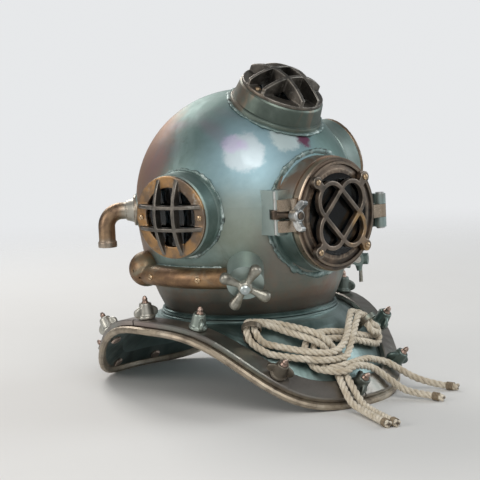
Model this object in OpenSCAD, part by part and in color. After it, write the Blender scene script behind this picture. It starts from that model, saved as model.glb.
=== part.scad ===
// Deep-sea diving helmet: bonnet with hinged front door, three more guarded windows,
// exhaust valve, air and telephone elbows, and a bolted breastplate with a tied line.
// +Z is up, the door faces -Y, the wearer's right is -X. The floor is at z = 0.

/* [Bonnet] */
// Outer radius of the bonnet's dome
bonnet_r = 155; // [145:1:165]
// Height of the dome's centre above the neck joint
bonnet_h = 157; // [150:1:165]
// Distance of the bonnet's foot inside the breastplate's neck ring
foot_inset = 7.66; // [7:0.1:12]
// Copper thickness of the bonnet
bonnet_wall = 3; // [2:0.5:5]

/* [Breastplate] */
// Height of the neck joint above the floor
neck_z = 115; // [110:1:125]
// Half width across the shoulders
plate_half_w = 184; // [178:1:196]
// Half length from front to rear
plate_half_l = 238; // [230:1:248]
// Distance of the neck's axis in front of the breastplate's middle
neck_fore = 14; // [8:1:18]
// Height of the rim's lower edge at the shoulders
shoulder_z = 99; // [94:1:104]
// Copper thickness of the breastplate
plate_wall = 4; // [3:0.5:6]
// Width of the bolting flange
flange_w = 38; // [32:1:44]
// Thickness of the bolting flange
flange_t = 4; // [3:0.5:6]
// Radius of the rolled edge
roll_r = 5; // [4:0.5:6]
// Width of the clamping straps
brail_w = 29; // [24:1:32]
// Thickness of the clamping straps
brail_t = 9; // [6:0.5:12]

/* [Studs and wing nuts] */
// Radius of the studs
stud_r = 5; // [4:0.25:6]
// Distance of the studs from the rim's edge
stud_inset = 18; // [16:0.5:21]
// Height of a wing nut
nut_h = 22; // [18:1:26]
// Radius of a wing nut's foot
nut_r = 12; // [10:0.5:14]
// Length of the stud that stands out of the nut
stud_tip = 10; // [8:1:14]

/* [Neck rings] */
// Outer radius of the breastplate's neck ring
neck_r = 128; // [126:1:132]
// Radial width of the neck rings, from the thread lugs' tips to the outside
neck_ring_w = 24; // [22:0.5:27]
// Thickness of the bonnet's neck flange
neck_flange_t = 7; // [5:0.5:9]
// Radial height of the interrupted thread lugs
lug_h = 4.5; // [3:0.5:5]

/* [Door] */
// Radius of the door
door_r = 77; // [74:0.5:80]
// Distance of the door's front face in front of the dome
door_rise = 24; // [21:1:29]
// Thickness of the door
door_t = 13; // [11:0.5:15]
// Depth of the door's centre below the dome's centre
door_drop = 17; // [12:1:20]
// Radius of the door's window opening
door_bore = 50; // [46:0.5:53]
// Radius of the hinge pin
hinge_pin_r = 4; // [3:0.25:5]

/* [Windows] */
// Radius of the window opening
window_bore = 40; // [36:0.5:43]
// Outer radius of a window's guard
guard_r = 56; // [54:0.5:58]
// Outer radius of a window's housing
window_r = 58.5; // [57:0.5:62]
// Height of a side window's face above the dome
window_rise = 26; // [23:1:31]
// Height of the top window's face above the dome
top_rise = 22; // [19:1:27]
// Thickness of the window glass
glass_t = 8; // [6:0.5:10]

/* [Exhaust] */
// Radius of the exhaust valve's housing
valve_r = 25; // [22:0.5:28]
// Reach of the valve's housing from the bonnet's surface
valve_reach = 36; // [32:1:40]
// Height of the exhaust channel's section
channel_h = 28; // [24:0.5:32]
// Radius of the channel's round end
channel_ball_r = 25; // [22:0.5:27]
// Travel of the exhaust valve and its chin button
valve_lift = 8; // [5:0.5:10]
// Length of a handle arm
handle_arm = 36; // [30:1:38]

/* [Elbows] */
// Outer radius of the elbow tubes
elbow_r = 12; // [10:0.5:14]
// Wall of the elbow tubes
elbow_wall = 3; // [2:0.5:4]
// Bend radius of the elbow tubes
elbow_bend = 22; // [20:1:26]
// Radius of the elbows' mounting flanges
elbow_flange_r = 22; // [20:0.5:26]
// Distance of the elbows' outlets from the dome
elbow_reach = 44; // [38:1:50]

/* [Line] */
// Radius of the tied line
line_r = 5; // [4:0.25:5.5]

/* [Hidden] */
$fn = 64;
dome_fn = 180;
gap = 0.3;
run = 0.05;
bonnet_z = neck_z + bonnet_h;
bonnet_foot = neck_r - foot_inset;
neck_bore = neck_r - neck_ring_w;
bonnet_drop = (bonnet_h - neck_flange_t) / sqrt(1 - pow(bonnet_foot / bonnet_r, 2));
door_face = bonnet_r + door_rise;
window_face = bonnet_r + window_rise;
top_face = bonnet_r + top_rise;
root_r = bonnet_r - 35;
door_root = bonnet_r - 55;

// Rim outline: a rounded oval whose height falls from the shoulders to front and rear
plan_power = 2.04;
rim_power = 1.55;
rim_cut = 1;
shoulder_tilt = 2;
front_tilt = 48;
rim_steps = 96;
shell_rings = 7;
neck_drop = 3;
shell_curve = 1.5;

// Interrupted neck thread
lug_count = 4;
lug_arc = 40;
gasket_t = 3;
skirt_t = 4;
skirt_h = 14;
seg_t = 5;

// Places of the studs and of the straps' joints, as angles of the oval from the left shoulder
stud_angles = [20, 52, 84, 116, 147, 175, 198, 227, 264, 303, 325, 349];
brail_joints = [92, 172, 266, 352, 452];
head_t = 4;
head_r = 8;
stud_hole_r = stud_r + 0.4;

// Window axes: azimuth from the front towards the wearer's right, and elevation
right_az = 78;
right_el = -3;
left_az = -82;
left_el = 16;
top_el = 61;

// Exhaust valve axis, from a point on the bonnet's surface
valve_az = 45.5;
valve_el = -23;
valve_z = bonnet_z - 84;

// Elbows and spitcock
elbow_az = 130;
elbow_z = bonnet_z - 10;
elbow_out = bonnet_r + elbow_reach;
cock_az = -33;
cock_z = bonnet_z - 91;

// Routes of the two strands of the tied line: from the floor over the front of the rim and up under
// the knot, through the right padeye, across to the left padeye and through it, back around the
// knot, and over the rim to the floor again
line_sides = 8;
line_outer_route = [
    [-91, -349, 5.2], [-59, -276, 8], [-55, -254, 15], [-42, -223, 41], [-33, -211, 46],
    [-29, -204, 58], [-32, -195, 70], [-45, -193, 84], [-56, -185, 92], [-75, -152, 104],
    [-86, -143, 110], [-109, -136, 118], [-116, -144, 105], [-105, -146, 91], [-94, -154, 86],
    [-66, -192, 77], [-36, -208, 74], [-8, -204, 84], [40, -173, 112], [55, -165, 111],
    [65, -175, 106], [69, -186, 94], [92, -173, 86], [99, -170, 78], [95, -175, 67],
    [83, -180, 63], [54, -190, 71], [8, -188, 83], [-27, -183, 87], [-42, -181, 83],
    [-49, -186, 73], [-47, -203, 54], [-43, -212, 54], [-32, -221, 56], [19, -216, 56],
    [49, -209, 49], [66, -214, 43], [100, -235, 18], [120, -257, 8], [130, -286, 5.2]];
line_inner_route = [
    [-81, -355, 5.2], [-49, -281, 8], [-42, -260, 14], [-37, -237, 36], [-21, -212, 48],
    [-15, -204, 62], [-18, -197, 70], [-35, -193, 89], [-48, -182, 100], [-66, -147, 109],
    [-80, -134, 113], [-110, -124, 117], [-118, -129, 116], [-124, -135, 105], [-121, -138, 94],
    [-110, -146, 82], [-101, -157, 75], [-66, -199, 67], [-49, -209, 65], [-27, -213, 64],
    [-15, -214, 67], [48, -180, 109], [56, -180, 107], [60, -191, 88], [75, -189, 81],
    [88, -176, 76], [83, -171, 73], [53, -183, 80], [11, -181, 91], [-32, -176, 96],
    [-46, -174, 90], [-58, -177, 80], [-61, -194, 57], [-55, -216, 52], [-38, -231, 51],
    [-15, -230, 54], [24, -226, 43], [41, -242, 25], [51, -260, 12], [66, -312, 5.2]];

function sgn_pow(v, p) = sign(v) * pow(abs(v), p);
function fall(y, half) = 0.5 - 0.5 * cos(180 * pow(min(1, abs(y) / half), rim_power));
function rim_z(y, half) = shoulder_z - (shoulder_z + rim_cut) * fall(y, half);
function rim_at(t) =
    let (x = plate_half_w * sgn_pow(cos(t), 2 / plan_power),
         y = plate_half_l * sgn_pow(sin(t), 2 / plan_power))
    [x, y, rim_z(y, plate_half_l) + roll_r];
function unit(v) = v / norm(v);
function rim_along(t) = unit(rim_at(t + 0.5) - rim_at(t - 0.5));
function rim_in(t) = let (a = rim_along(t)) unit([-a[1], a[0], 0]);
function rim_tilt(t) =
    shoulder_tilt + (front_tilt - shoulder_tilt) * fall(rim_at(t)[1], plate_half_l);
function rim_width(t) =
    let (n = rim_in(t), u = cross(rim_along(t), n), w = rim_tilt(t)) cos(w) * n + sin(w) * u;
function rim_normal(t) =
    let (n = rim_in(t), u = cross(rim_along(t), n), w = rim_tilt(t)) cos(w) * u - sin(w) * n;
function on_rim(t, s, h) = rim_at(t) + s * rim_width(t) + h * rim_normal(t);

function form_r(z, o) = (bonnet_r + o) * sqrt(1 - pow((z - bonnet_z) / (bonnet_drop + o), 2));

// A closed band swept along the rim from one angle to another. The faces of an open band are split
// the other way, so that it lies flat on the rim
module rim_sweep(section, from, to, closed = false) {
    n = len(section);
    turn = 360 / rim_steps;
    first = turn * (floor(from / turn) + 1);
    stations = closed ? [for (i = [0:rim_steps - 1]) turn * i]
        : concat([from], [for (t = [first:turn:to - 0.1]) t], [to]);
    rings = len(stations);
    steps = closed ? rings : rings - 1;
    pts = [for (t = stations, p = section) on_rim(t, p[0], p[1])];
    sides = [for (i = [0:steps - 1], j = [0:n - 1])
        let (a = i * n + j, b = i * n + (j + 1) % n,
             c = ((i + 1) % rings) * n + (j + 1) % n, d = ((i + 1) % rings) * n + j)
        each closed ? [[a, c, b], [a, d, c]] : [[a, d, b], [d, c, b]]];
    ends = closed ? [] : [[for (j = [0:n - 1]) j], [for (j = [n - 1:-1:0]) (rings - 1) * n + j]];
    polyhedron(points = pts, faces = concat(sides, ends), convexity = 6);
}

// Places its child with +Z along the rim's normal, at a distance in from the edge
module at_rim(t, s, h) {
    z = rim_normal(t);
    x = rim_along(t);
    y = cross(z, x);
    p = on_rim(t, s, h);
    multmatrix([[x[0], y[0], z[0], p[0]], [x[1], y[1], z[1], p[1]],
        [x[2], y[2], z[2], p[2]], [0, 0, 0, 1]]) children();
}

// Places its child on the neck's axis
module at_neck() translate([0, -neck_fore, 0]) children();

// Turns +Z to an azimuth and an elevation about a centre at height z0
module aim(az, el, z0) {
    translate([0, -neck_fore, z0]) rotate([0, 0, -az]) rotate([90 - el, 0, 0]) children();
}

// The bonnet's outer form, grown by o and closed at the neck joint
module bonnet_form(o) {
    steps = 12;
    side = bonnet_r + abs(o) + 1;
    translate([0, -neck_fore, bonnet_z]) {
        intersection() {
            sphere(r = bonnet_r + o, $fn = dome_fn);
            translate([-side, -side, 0]) cube([2 * side, 2 * side, side]);
        }
        rotate_extrude($fn = dome_fn) polygon(concat([[0, 0]],
            [for (i = [0:steps]) let (h = bonnet_h * i / steps) [form_r(bonnet_z - h, o), -h]],
            [[0, -bonnet_h]]));
    }
}

// Breastplate

roll_section = [for (a = [60:40:300]) roll_r * [cos(a), sin(a)]];
brail_low = flange_t + gap;
brail_edge = 1.5;
brail_out = stud_inset - brail_w / 2;
flange_section = concat([[flange_w, 0], [flange_w, flange_t],
    [brail_out + brail_w - brail_edge, flange_t], [brail_out + brail_edge, flange_t],
    [flange_t, flange_t]], roll_section, [[roll_r + 1, 0]]);
brail_section = [[brail_out + brail_edge, brail_low], [brail_out + brail_w - brail_edge, brail_low],
    [brail_out + brail_w, brail_low + brail_edge],
    [brail_out + brail_w, brail_low + brail_t - brail_edge],
    [brail_out + brail_w - brail_edge, brail_low + brail_t],
    [brail_out + brail_edge, brail_low + brail_t],
    [brail_out, brail_low + brail_t - brail_edge], [brail_out, brail_low + brail_edge]];
brail_slit = 0.3;
nut_seat = brail_low + brail_t + 2 * gap;

// A point of the breastplate's skin, from the neck (u = 0) to the flange (u = 1), h below its top
function on_shell(t, u, h) =
    let (rim = on_rim(t, flange_w, flange_t - h * flange_t / plate_wall),
         a = atan2(rim[1] + neck_fore, rim[0]), r = neck_r + gap / 2,
         top = neck_z - neck_drop - h,
         flat = (1 - u) * [r * cos(a), r * sin(a) - neck_fore] + u * [rim[0], rim[1]])
    [flat[0], flat[1], top + (rim[2] - top) * pow(u, shell_curve)];

module at_shell(t, u) {
    p = on_shell(t, u, 0);
    y = unit(on_shell(t, u - 0.02, 0) - on_shell(t, u + 0.02, 0));
    x = unit(cross(y, cross(on_shell(t + 1, u, 0) - p, y)));
    z = cross(x, y);
    multmatrix([[x[0], y[0], z[0], p[0]], [x[1], y[1], z[1], p[1]],
        [x[2], y[2], z[2], p[2]], [0, 0, 0, 1]]) children();
}

module breastplate_shell() {
    n = rim_steps;
    k = shell_rings + 1;
    pts = [for (h = [0, plate_wall], j = [0:shell_rings], i = [0:n - 1])
        on_shell(360 * i / n, j / shell_rings, h)];
    low = n * k;
    skins = [for (j = [0:shell_rings - 1], i = [0:n - 1])
        let (a = j * n + i, b = j * n + (i + 1) % n, c = a + n, d = b + n)
        each [[a, b, d], [a, d, c], [low + a, low + d, low + b], [low + a, low + c, low + d]]];
    edges = [for (j = [0, shell_rings], i = [0:n - 1])
        let (a = j * n + i, b = j * n + (i + 1) % n)
        each j == 0 ? [[a, low + a, low + b], [a, low + b, b]]
            : [[a, b, low + a], [b, low + b, low + a]]];
    color("cadetblue") polyhedron(points = pts, faces = concat(skins, edges), convexity = 6);
}

module stud_holes(angles) {
    for (t = angles) at_rim(t, stud_inset, -roll_r)
        cylinder(r = stud_hole_r, h = 2 * roll_r + flange_t + brail_t);
}

module breastplate_rim() {
    color("darkslategray") difference() {
        rim_sweep(flange_section, 0, 360, closed = true);
        translate([0, 0, -roll_r]) cube([3 * plate_half_w, 3 * plate_half_l, 2 * roll_r], center = true);
        stud_holes(stud_angles);
    }
}

module brail(i) {
    from = brail_joints[i];
    to = brail_joints[i + 1];
    color("dimgray") difference() {
        rim_sweep(brail_section, from + brail_slit, to - brail_slit);
        stud_holes([for (t = stud_angles, turn = [0, 360]) if (t + turn > from && t + turn < to) t]);
    }
}

module brail_rear() brail(0);
module brail_right() brail(1);
module brail_front() brail(2);
module brail_left() brail(3);

module breastplate_studs() {
    foot = -2 * gap;
    tall = nut_seat + nut_h;
    color("rosybrown") for (t = stud_angles) at_rim(t, stud_inset, 0)
        rotate_extrude() polygon([[0, foot - head_t], [head_r - 2, foot - head_t],
            [head_r, foot - head_t + 2], [head_r, foot], [stud_r, foot], [stud_r, tall],
            [stud_r - 1.5, tall + 0.3 * stud_tip], [stud_r - 1.2, tall + 0.55 * stud_tip],
            [stud_r - 3, tall + 0.9 * stud_tip], [0, tall + stud_tip]]);
}

module wing_nut(foot, high, bore, turn) {
    wing_t = 7;
    rotate([0, 0, turn]) difference() {
        union() {
            cylinder(r1 = foot, r2 = foot - 3, h = high);
            for (a = [0, 180]) rotate([90, 0, a]) translate([0, 0, -wing_t / 2])
                linear_extrude(wing_t) polygon([[foot - 6, 0.1 * high], [foot + 1, 0.1 * high],
                    [foot + 6, 0.35 * high], [foot + 7, 0.85 * high], [foot + 4, high],
                    [foot - 2, 0.8 * high], [foot - 6, 0.8 * high]]);
        }
        translate([0, 0, -1]) cylinder(r = bore, h = high + 2);
    }
}

module breastplate_wing_nuts() {
    color("darkkhaki") for (i = [0:len(stud_angles) - 1])
        at_rim(stud_angles[i], stud_inset, nut_seat)
            wing_nut(nut_r, nut_h, stud_r + run, 53 * i);
}

module breastplate_neck_ring() {
    seat = neck_z - gasket_t;
    color("cadetblue") at_neck() {
        rotate_extrude() polygon([[neck_bore + lug_h, neck_z - 13], [neck_r, neck_z - 13],
            [neck_r, neck_z - 1], [neck_r - 1, neck_z], [neck_r - 4, neck_z],
            [neck_r - 4, seat], [neck_bore + lug_h, seat]]);
        for (i = [0:lug_count - 1]) rotate([0, 0, i * 360 / lug_count - lug_arc / 2])
            rotate_extrude(angle = lug_arc) translate([neck_bore, seat - seg_t])
                square([lug_h + 0.5, seg_t]);
    }
}

module neck_gasket() {
    color("saddlebrown") at_neck() translate([0, 0, neck_z - gasket_t]) difference() {
        cylinder(r = neck_r - 4 - gap, h = gasket_t);
        translate([0, 0, -1]) cylinder(r = neck_bore + lug_h + 1, h = gasket_t + 2);
    }
}

padeye_places = [[216, 0.625], [297, 0.508]];
padeye_in = 2 * line_r + 1.5;
padeye_t = 2;
padeye_w = 8;
padeye_rise = 24;
module padeyes() {
    foot_t = 3;
    foot_r = 11;
    shank_r = 4;
    color("darkslategray") for (p = padeye_places) at_shell(p[0], p[1]) difference() {
        union() {
            translate([0, 0, gap]) cylinder(r = foot_r, h = foot_t);
            translate([0, 0, gap + 1]) cylinder(r = shank_r, h = padeye_rise - padeye_in);
            translate([0, padeye_w / 2, padeye_rise]) rotate([90, 0, 0])
                cylinder(r = padeye_in + padeye_t, h = padeye_w);
        }
        translate([0, 20, padeye_rise]) rotate([90, 0, 0]) cylinder(r = padeye_in, h = 40);
    }
}

// Rear safety latch: an arm on the breastplate that swings up between two cheeks on the bonnet

latch_y = neck_r + 15;
latch_z = neck_z - 2.1;
latch_w = 8;
latch_eye_r = 4;
latch_pin_r = 2;
latch_len = 24;
latch_cheek = 4;
module at_latch() translate([0, latch_y, latch_z]) rotate([0, 90, 0]) children();

// A piece across the rear of the neck, its outline given outwards and upwards
module across(width, outline) {
    translate([-width / 2, 0, 0]) rotate([90, 0, 90]) linear_extrude(width) polygon(outline);
}

module latch_bracket() {
    top = latch_z + latch_eye_r;
    wide = latch_w + 2 * gap + 2 * latch_cheek;
    foot = [neck_r + 5.5, neck_z - 3.1];
    color("dimgray") at_neck() difference() {
        union() {
            across(wide, [[neck_r - 1, neck_z - 2.2], foot, [latch_y - 4, neck_z - 4.6],
                [latch_y, latch_z], [latch_y, top], [neck_r - 1, top]]);
            at_latch() cylinder(r = latch_eye_r, h = wide, center = true);
        }
        cylinder(r = neck_r + run, h = 2 * neck_z);
        translate([-latch_w / 2 - gap, foot[0], 0]) cube([latch_w + 2 * gap, 40, 2 * neck_z]);
        at_latch() cylinder(r = latch_pin_r, h = 40, center = true);
    }
}

module latch_pin() color("silver") at_neck() at_latch()
    cylinder(r = latch_pin_r, h = latch_w + 2 * gap + 2 * latch_cheek, center = true);

module safety_latch() {
    arm_t = latch_eye_r;
    tip = 6;
    color("goldenrod") at_neck() difference() {
        union() {
            at_latch() cylinder(r = latch_eye_r, h = latch_w, center = true);
            translate([-latch_w / 2, latch_y, latch_z - arm_t / 2]) cube([latch_w, latch_len, arm_t]);
            translate([-latch_w, latch_y + latch_len - tip, latch_z - arm_t / 2])
                cube([2 * latch_w, tip, arm_t]);
        }
        at_latch() cylinder(r = latch_pin_r + run, h = 40, center = true);
    }
}

// The catch clears the neck flange's edge and the bonnet's foot
module latch_catch() {
    low = neck_z + 2.5;
    high = neck_z + 13;
    out = latch_y + 4;
    ring_top = neck_z + neck_flange_t;
    color("dimgray") at_neck() difference() {
        across(latch_w + 10, [[neck_r - 2.7, ring_top - 0.7], [neck_r - 1.6, ring_top - 3],
            [neck_r - 1.6, low], [out, low], [out, high], [neck_r, high],
            [neck_r - 3.6, ring_top + 1.5], [neck_r - 3.8, ring_top + 0.3]]);
        translate([-latch_w / 2 - 0.5, latch_y - 5, neck_z]) cube([latch_w + 1, 40, 40]);
    }
}

// Bonnet

module aim_valve() {
    translate([0, -neck_fore, valve_z]) rotate([0, 0, -valve_az]) translate([0, -form_r(valve_z, 0), 0])
        rotate([90 - valve_el, 0, 0]) children();
}

door_z = bonnet_z - door_drop;
seat_bore = 58;
port_r = 14;
cock_bore = 4;
module bonnet_shell() {
    color("cadetblue") difference() {
        bonnet_form(0);
        bonnet_form(-bonnet_wall);
        at_neck() translate([0, 0, neck_z - 1]) cylinder(r = bonnet_r, h = neck_flange_t + 1);
        aim(0, 0, door_z) cylinder(r = seat_bore, h = 2 * bonnet_r);
        aim(right_az, right_el, bonnet_z) cylinder(r = window_bore, h = 2 * bonnet_r);
        aim(left_az, left_el, bonnet_z) cylinder(r = window_bore, h = 2 * bonnet_r);
        aim(0, top_el, bonnet_z) cylinder(r = window_bore, h = 2 * bonnet_r);
        for (s = [-1, 1]) aim(s * elbow_az, 0, elbow_z) cylinder(r = elbow_r - elbow_wall, h = 2 * bonnet_r);
        aim(cock_az, 0, cock_z) cylinder(r = cock_bore, h = 2 * bonnet_r);
        aim_valve() translate([0, 0, -30]) cylinder(r = port_r, h = 60);
    }
}

module bonnet_neck_ring() {
    low = neck_z + gap;
    top = neck_z + neck_flange_t;
    seat = neck_z - gasket_t - seg_t - 0.4;
    skirt_r = neck_bore - 0.5;
    inner = form_r(top, -bonnet_wall);
    color("cadetblue") at_neck() {
        rotate_extrude() polygon([[skirt_r - skirt_t, neck_z - skirt_h], [skirt_r, neck_z - skirt_h],
            [skirt_r, low], [neck_r - 3, low], [neck_r - 2, low + 1], [neck_r - 2, low + 3],
            [neck_r - 3.5, low + 3.6], [neck_r - 3, top - 1], [neck_r - 4.5, top],
            [inner, top], [skirt_r - skirt_t, top - 3]]);
        for (i = [0:lug_count - 1]) rotate([0, 0, i * 360 / lug_count - lug_arc / 2])
            rotate_extrude(angle = lug_arc) translate([skirt_r - 0.5, neck_z - skirt_h])
                square([lug_h + 0.5, seat - neck_z + skirt_h]);
    }
}

// A window frame along +Z from the dome's centre, its guard seated below z = face
module window_frame(az, el, face, base, top) {
    seat = face - 5;
    ledge = window_bore + 6;
    color("cadetblue") difference() {
        aim(az, el, bonnet_z) rotate_extrude() polygon([[window_bore, root_r], [base, root_r],
            [base, seat - 26], [base - 1, seat - 24], [(base + top) / 2, seat - 23],
            [top, seat - 2], [top - 2, seat], [ledge, seat], [ledge, seat - glass_t - 2],
            [window_bore, seat - glass_t - 2]]);
        bonnet_form(0);
    }
}
module window_gasket(az, el, face) {
    color("dimgray") aim(az, el, bonnet_z) translate([0, 0, face - 7 - glass_t]) difference() {
        cylinder(r = window_bore + 6, h = 2);
        translate([0, 0, -1]) cylinder(r = window_bore, h = 4);
    }
}
module window_glass(az, el, face) {
    color("lightblue", 0.35) aim(az, el, bonnet_z) translate([0, 0, face - 5 - glass_t])
        cylinder(r = window_bore + 5.7, h = glass_t);
}

fin_t = 5;
fin_place = 15;
side_fins = [17, 0, 12];
top_fins = [27, 9, 20];
// fins holds their height at the middle, their height at the rim and their depth
module window_guard(az, el, face, rim, fins) {
    seat = face - 5;
    rise = fins[0];
    drop = rise - fins[1];
    dome = (pow(rim - 2, 2) + pow(drop, 2)) / (2 * drop);
    color("peru") aim(az, el, bonnet_z) {
        difference() {
            translate([0, 0, seat]) cylinder(r = rim, h = 5);
            translate([0, 0, seat - 1]) cylinder(r = window_bore, h = 7);
            for (s = [-1, 1]) translate([s * (window_bore + rim) / 2, 0, seat - 1])
                cylinder(r = screw_r, h = 7);
        }
        intersection() {
            translate([0, 0, face + rise - dome]) difference() {
                sphere(r = dome);
                sphere(r = dome - fins[2]);
            }
            translate([0, 0, face - 1]) cylinder(r = rim - 1, h = 2 * rise);
            for (s = [-1, 1]) {
                translate([s * fin_place, 0, face]) cube([fin_t, 2 * rim, 3 * rise], center = true);
                translate([0, s * fin_place, face]) cube([2 * rim, fin_t, 3 * rise], center = true);
            }
        }
    }
}

screw_r = 2.5;
module pan_screw(length) {
    rotate_extrude() polygon([[0, -length], [screw_r - run, -length], [screw_r - run, 0],
        [4, 0], [4, 1], [2.5, 2.4], [0, 2.8]]);
}
module window_screws() {
    color("goldenrod") for (w = [[right_az, right_el, window_face, guard_r],
        [left_az, left_el, window_face, guard_r], [0, top_el, top_face, top_guard_r]])
        aim(w[0], w[1], bonnet_z) for (s = [-1, 1])
            translate([s * (window_bore + w[3]) / 2, 0, w[2]]) pan_screw(5);
}

top_guard_r = guard_r + 2;
module right_window_frame() window_frame(right_az, right_el, window_face, window_r, window_r - 1);
module right_window_gasket() window_gasket(right_az, right_el, window_face);
module right_window_glass() window_glass(right_az, right_el, window_face);
module right_window_guard() window_guard(right_az, right_el, window_face, guard_r, side_fins);
module left_window_frame() window_frame(left_az, left_el, window_face, window_r, window_r - 1);
module left_window_gasket() window_gasket(left_az, left_el, window_face);
module left_window_glass() window_glass(left_az, left_el, window_face);
module left_window_guard() window_guard(left_az, left_el, window_face, guard_r, side_fins);
module top_window_frame() window_frame(0, top_el, top_face, window_r + 7.5, window_r + 1.5);
module top_window_gasket() window_gasket(0, top_el, top_face);
module top_window_glass() window_glass(0, top_el, top_face);
module top_window_guard() window_guard(0, top_el, top_face, top_guard_r, top_fins);

// Front door, in a frame with +Z out of the door's face and +Y up

seat_face = door_face - door_t - gap;
seat_r = door_r + 2;
seat_step = 28;
hinge_x = door_r + 17;
hinge_y = -4;
hinge_z = seat_face + 7;
hinge_r = 8;
hinge_half = 9;
hinge_ear = 14;
bolt_x = door_r + 11;
bolt_y = 7;
bolt_pivot = seat_face - 16;
bolt_r = 5;
bolt_eye_r = 8;
bolt_slot = 6.5;
bolt_pin_r = 4;
bolt_block = [28, 32];
fork_reach = door_face - bolt_pivot;
fork_w = 15;
module aim_door() aim(0, 0, door_z) children();
module on_hinge() translate([hinge_x, hinge_y, hinge_z]) rotate([-90, 0, 0]) children();
module on_bolt() translate([-bolt_x, bolt_y, bolt_pivot]) rotate([-90, 0, 0]) children();

module door_seat() {
    block_low = bolt_y - bolt_block[0];
    color("cadetblue") difference() {
        aim_door() difference() {
            union() {
                translate([0, 0, door_root]) cylinder(r = seat_r, h = seat_face - door_root);
                translate([0, 0, door_root]) cylinder(r = seat_r + 5, h = seat_face - seat_step - door_root);
                for (s = [-1, 1]) {
                    middle = s * (hinge_half + gap + hinge_ear) / 2 + s * hinge_half / 2;
                    on_hinge() translate([0, 0, middle]) cylinder(r = hinge_r, h = hinge_ear - gap, center = true);
                    translate([hinge_x - 15, hinge_y + middle, hinge_z - 16])
                        cube([30, hinge_ear - gap, 18], center = true);
                }
                translate([-bolt_x - 3, block_low, door_root])
                    cube([30, bolt_block[0] + bolt_block[1], bolt_pivot + 7 - door_root]);
            }
            translate([0, 0, door_root - 10]) cylinder(r = seat_bore, h = bonnet_r);
            translate([0, 0, seat_face - 2]) difference() {
                cylinder(r = seat_bore + 9, h = 5);
                cylinder(r = seat_bore + 4, h = 5);
            }
            translate([-bolt_x - 20, bolt_y - bolt_slot, bolt_pivot - 10]) cube([30, 2 * bolt_slot, 30]);
            on_bolt() cylinder(r = bolt_pin_r, h = 80, center = true);
            on_hinge() cylinder(r = hinge_pin_r, h = 60, center = true);
        }
        bonnet_form(0);
    }
}

module door_seat_gasket() {
    color("black") aim_door() translate([0, 0, seat_face - 2]) difference() {
        cylinder(r = seat_bore + 9, h = 2);
        translate([0, 0, -1]) cylinder(r = seat_bore + 4, h = 4);
    }
}

glass_seat = door_bore + 6;
module door_frame() {
    low = door_face - door_t;
    color("sienna") aim_door() difference() {
        union() {
            rotate_extrude() polygon([[door_bore, low], [door_r - 1, low], [door_r, low + 1],
                [door_r, door_face - 3], [door_r - 2, door_face - 1], [door_r - 5, door_face - 1],
                [door_r - 6, door_face + 1.5], [door_r - 9, door_face + 1.5],
                [door_r - 10, door_face - 1], [glass_seat + 5, door_face],
                [glass_seat, door_face], [glass_seat, low + 3], [door_bore, low + 3]]);
            for (s = [-1, 1]) intersection() {
                translate([-bolt_x, bolt_y + s * (bolt_r + 1.5 + fork_w / 2), low + door_t / 2 + 0.5])
                    cube([32, fork_w, door_t - 1], center = true);
                on_bolt() cylinder(r = fork_reach, h = 80, center = true);
            }
            on_hinge() cylinder(r = hinge_r, h = 2 * hinge_half, center = true);
            translate([door_r - 4, hinge_y - hinge_half, low + 1])
                cube([hinge_x - door_r + 4, 2 * hinge_half, hinge_r + 4]);
        }
        on_hinge() cylinder(r = hinge_pin_r + run, h = 60, center = true);
        for (a = [45:90:315]) rotate([0, 0, a]) translate([door_lug_r, 0, door_face - 8])
            cylinder(r = screw_r, h = 20);
    }
}

module door_gasket() {
    color("black") aim_door() translate([0, 0, door_face - door_t + 3]) difference() {
        cylinder(r = glass_seat, h = 1.5);
        translate([0, 0, -1]) cylinder(r = door_bore, h = 4);
    }
}

module door_glass() {
    color("lightblue", 0.35) aim_door() translate([0, 0, door_face - door_t + 4.5])
        cylinder(r = glass_seat - gap, h = door_t - 5);
}

// Guard bars laid out as two crossed ovals with an ear for a screw at each end
door_lug_r = 66;
guard_oval = 24;
guard_half = 28;
guard_bar = 6;
guard_lift = 2;
guard_h = 8;
module oval(r) {
    for (s = [-1, 1]) translate([s * guard_half, 0]) circle(r = r);
    square([2 * guard_half, 2 * r], center = true);
}
module door_guard() {
    color("peru") aim_door() translate([0, 0, door_face + guard_lift]) difference() {
        union() for (a = [45, 135]) rotate([0, 0, a]) {
            linear_extrude(guard_h) difference() {
                oval(guard_oval + guard_bar / 2);
                oval(guard_oval - guard_bar / 2);
            }
            for (s = [-1, 1]) {
                translate([s * door_lug_r, 0, 0]) cylinder(r = 8, h = guard_h);
                translate([s * (door_lug_r + guard_half + guard_oval) / 2, 0, guard_h / 2])
                    cube([door_lug_r - guard_half - guard_oval, 11, guard_h], center = true);
            }
        }
        for (a = [45:90:315]) rotate([0, 0, a]) translate([door_lug_r, 0, -1])
            cylinder(r = screw_r, h = guard_h + 2);
    }
}

module door_guard_screws() {
    color("goldenrod") aim_door() for (a = [45:90:315]) rotate([0, 0, a])
        translate([door_lug_r, 0, door_face + guard_lift + guard_h]) pan_screw(guard_h + guard_lift + 7);
}

module door_hinge_pin() {
    half = hinge_half + hinge_ear;
    color("silver") aim_door() on_hinge() {
        cylinder(r = hinge_pin_r, h = 2 * half, center = true);
        for (s = [-1, 1]) translate([0, 0, s * (half + 1)])
            cylinder(r = hinge_pin_r + 2, h = 2, center = true);
    }
}

module swing_bolt_pin() {
    color("silver") aim_door() on_bolt() translate([0, 0, -bolt_block[0] + 1])
        cylinder(r = bolt_pin_r, h = bolt_block[0] + bolt_block[1] - 2);
}

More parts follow.
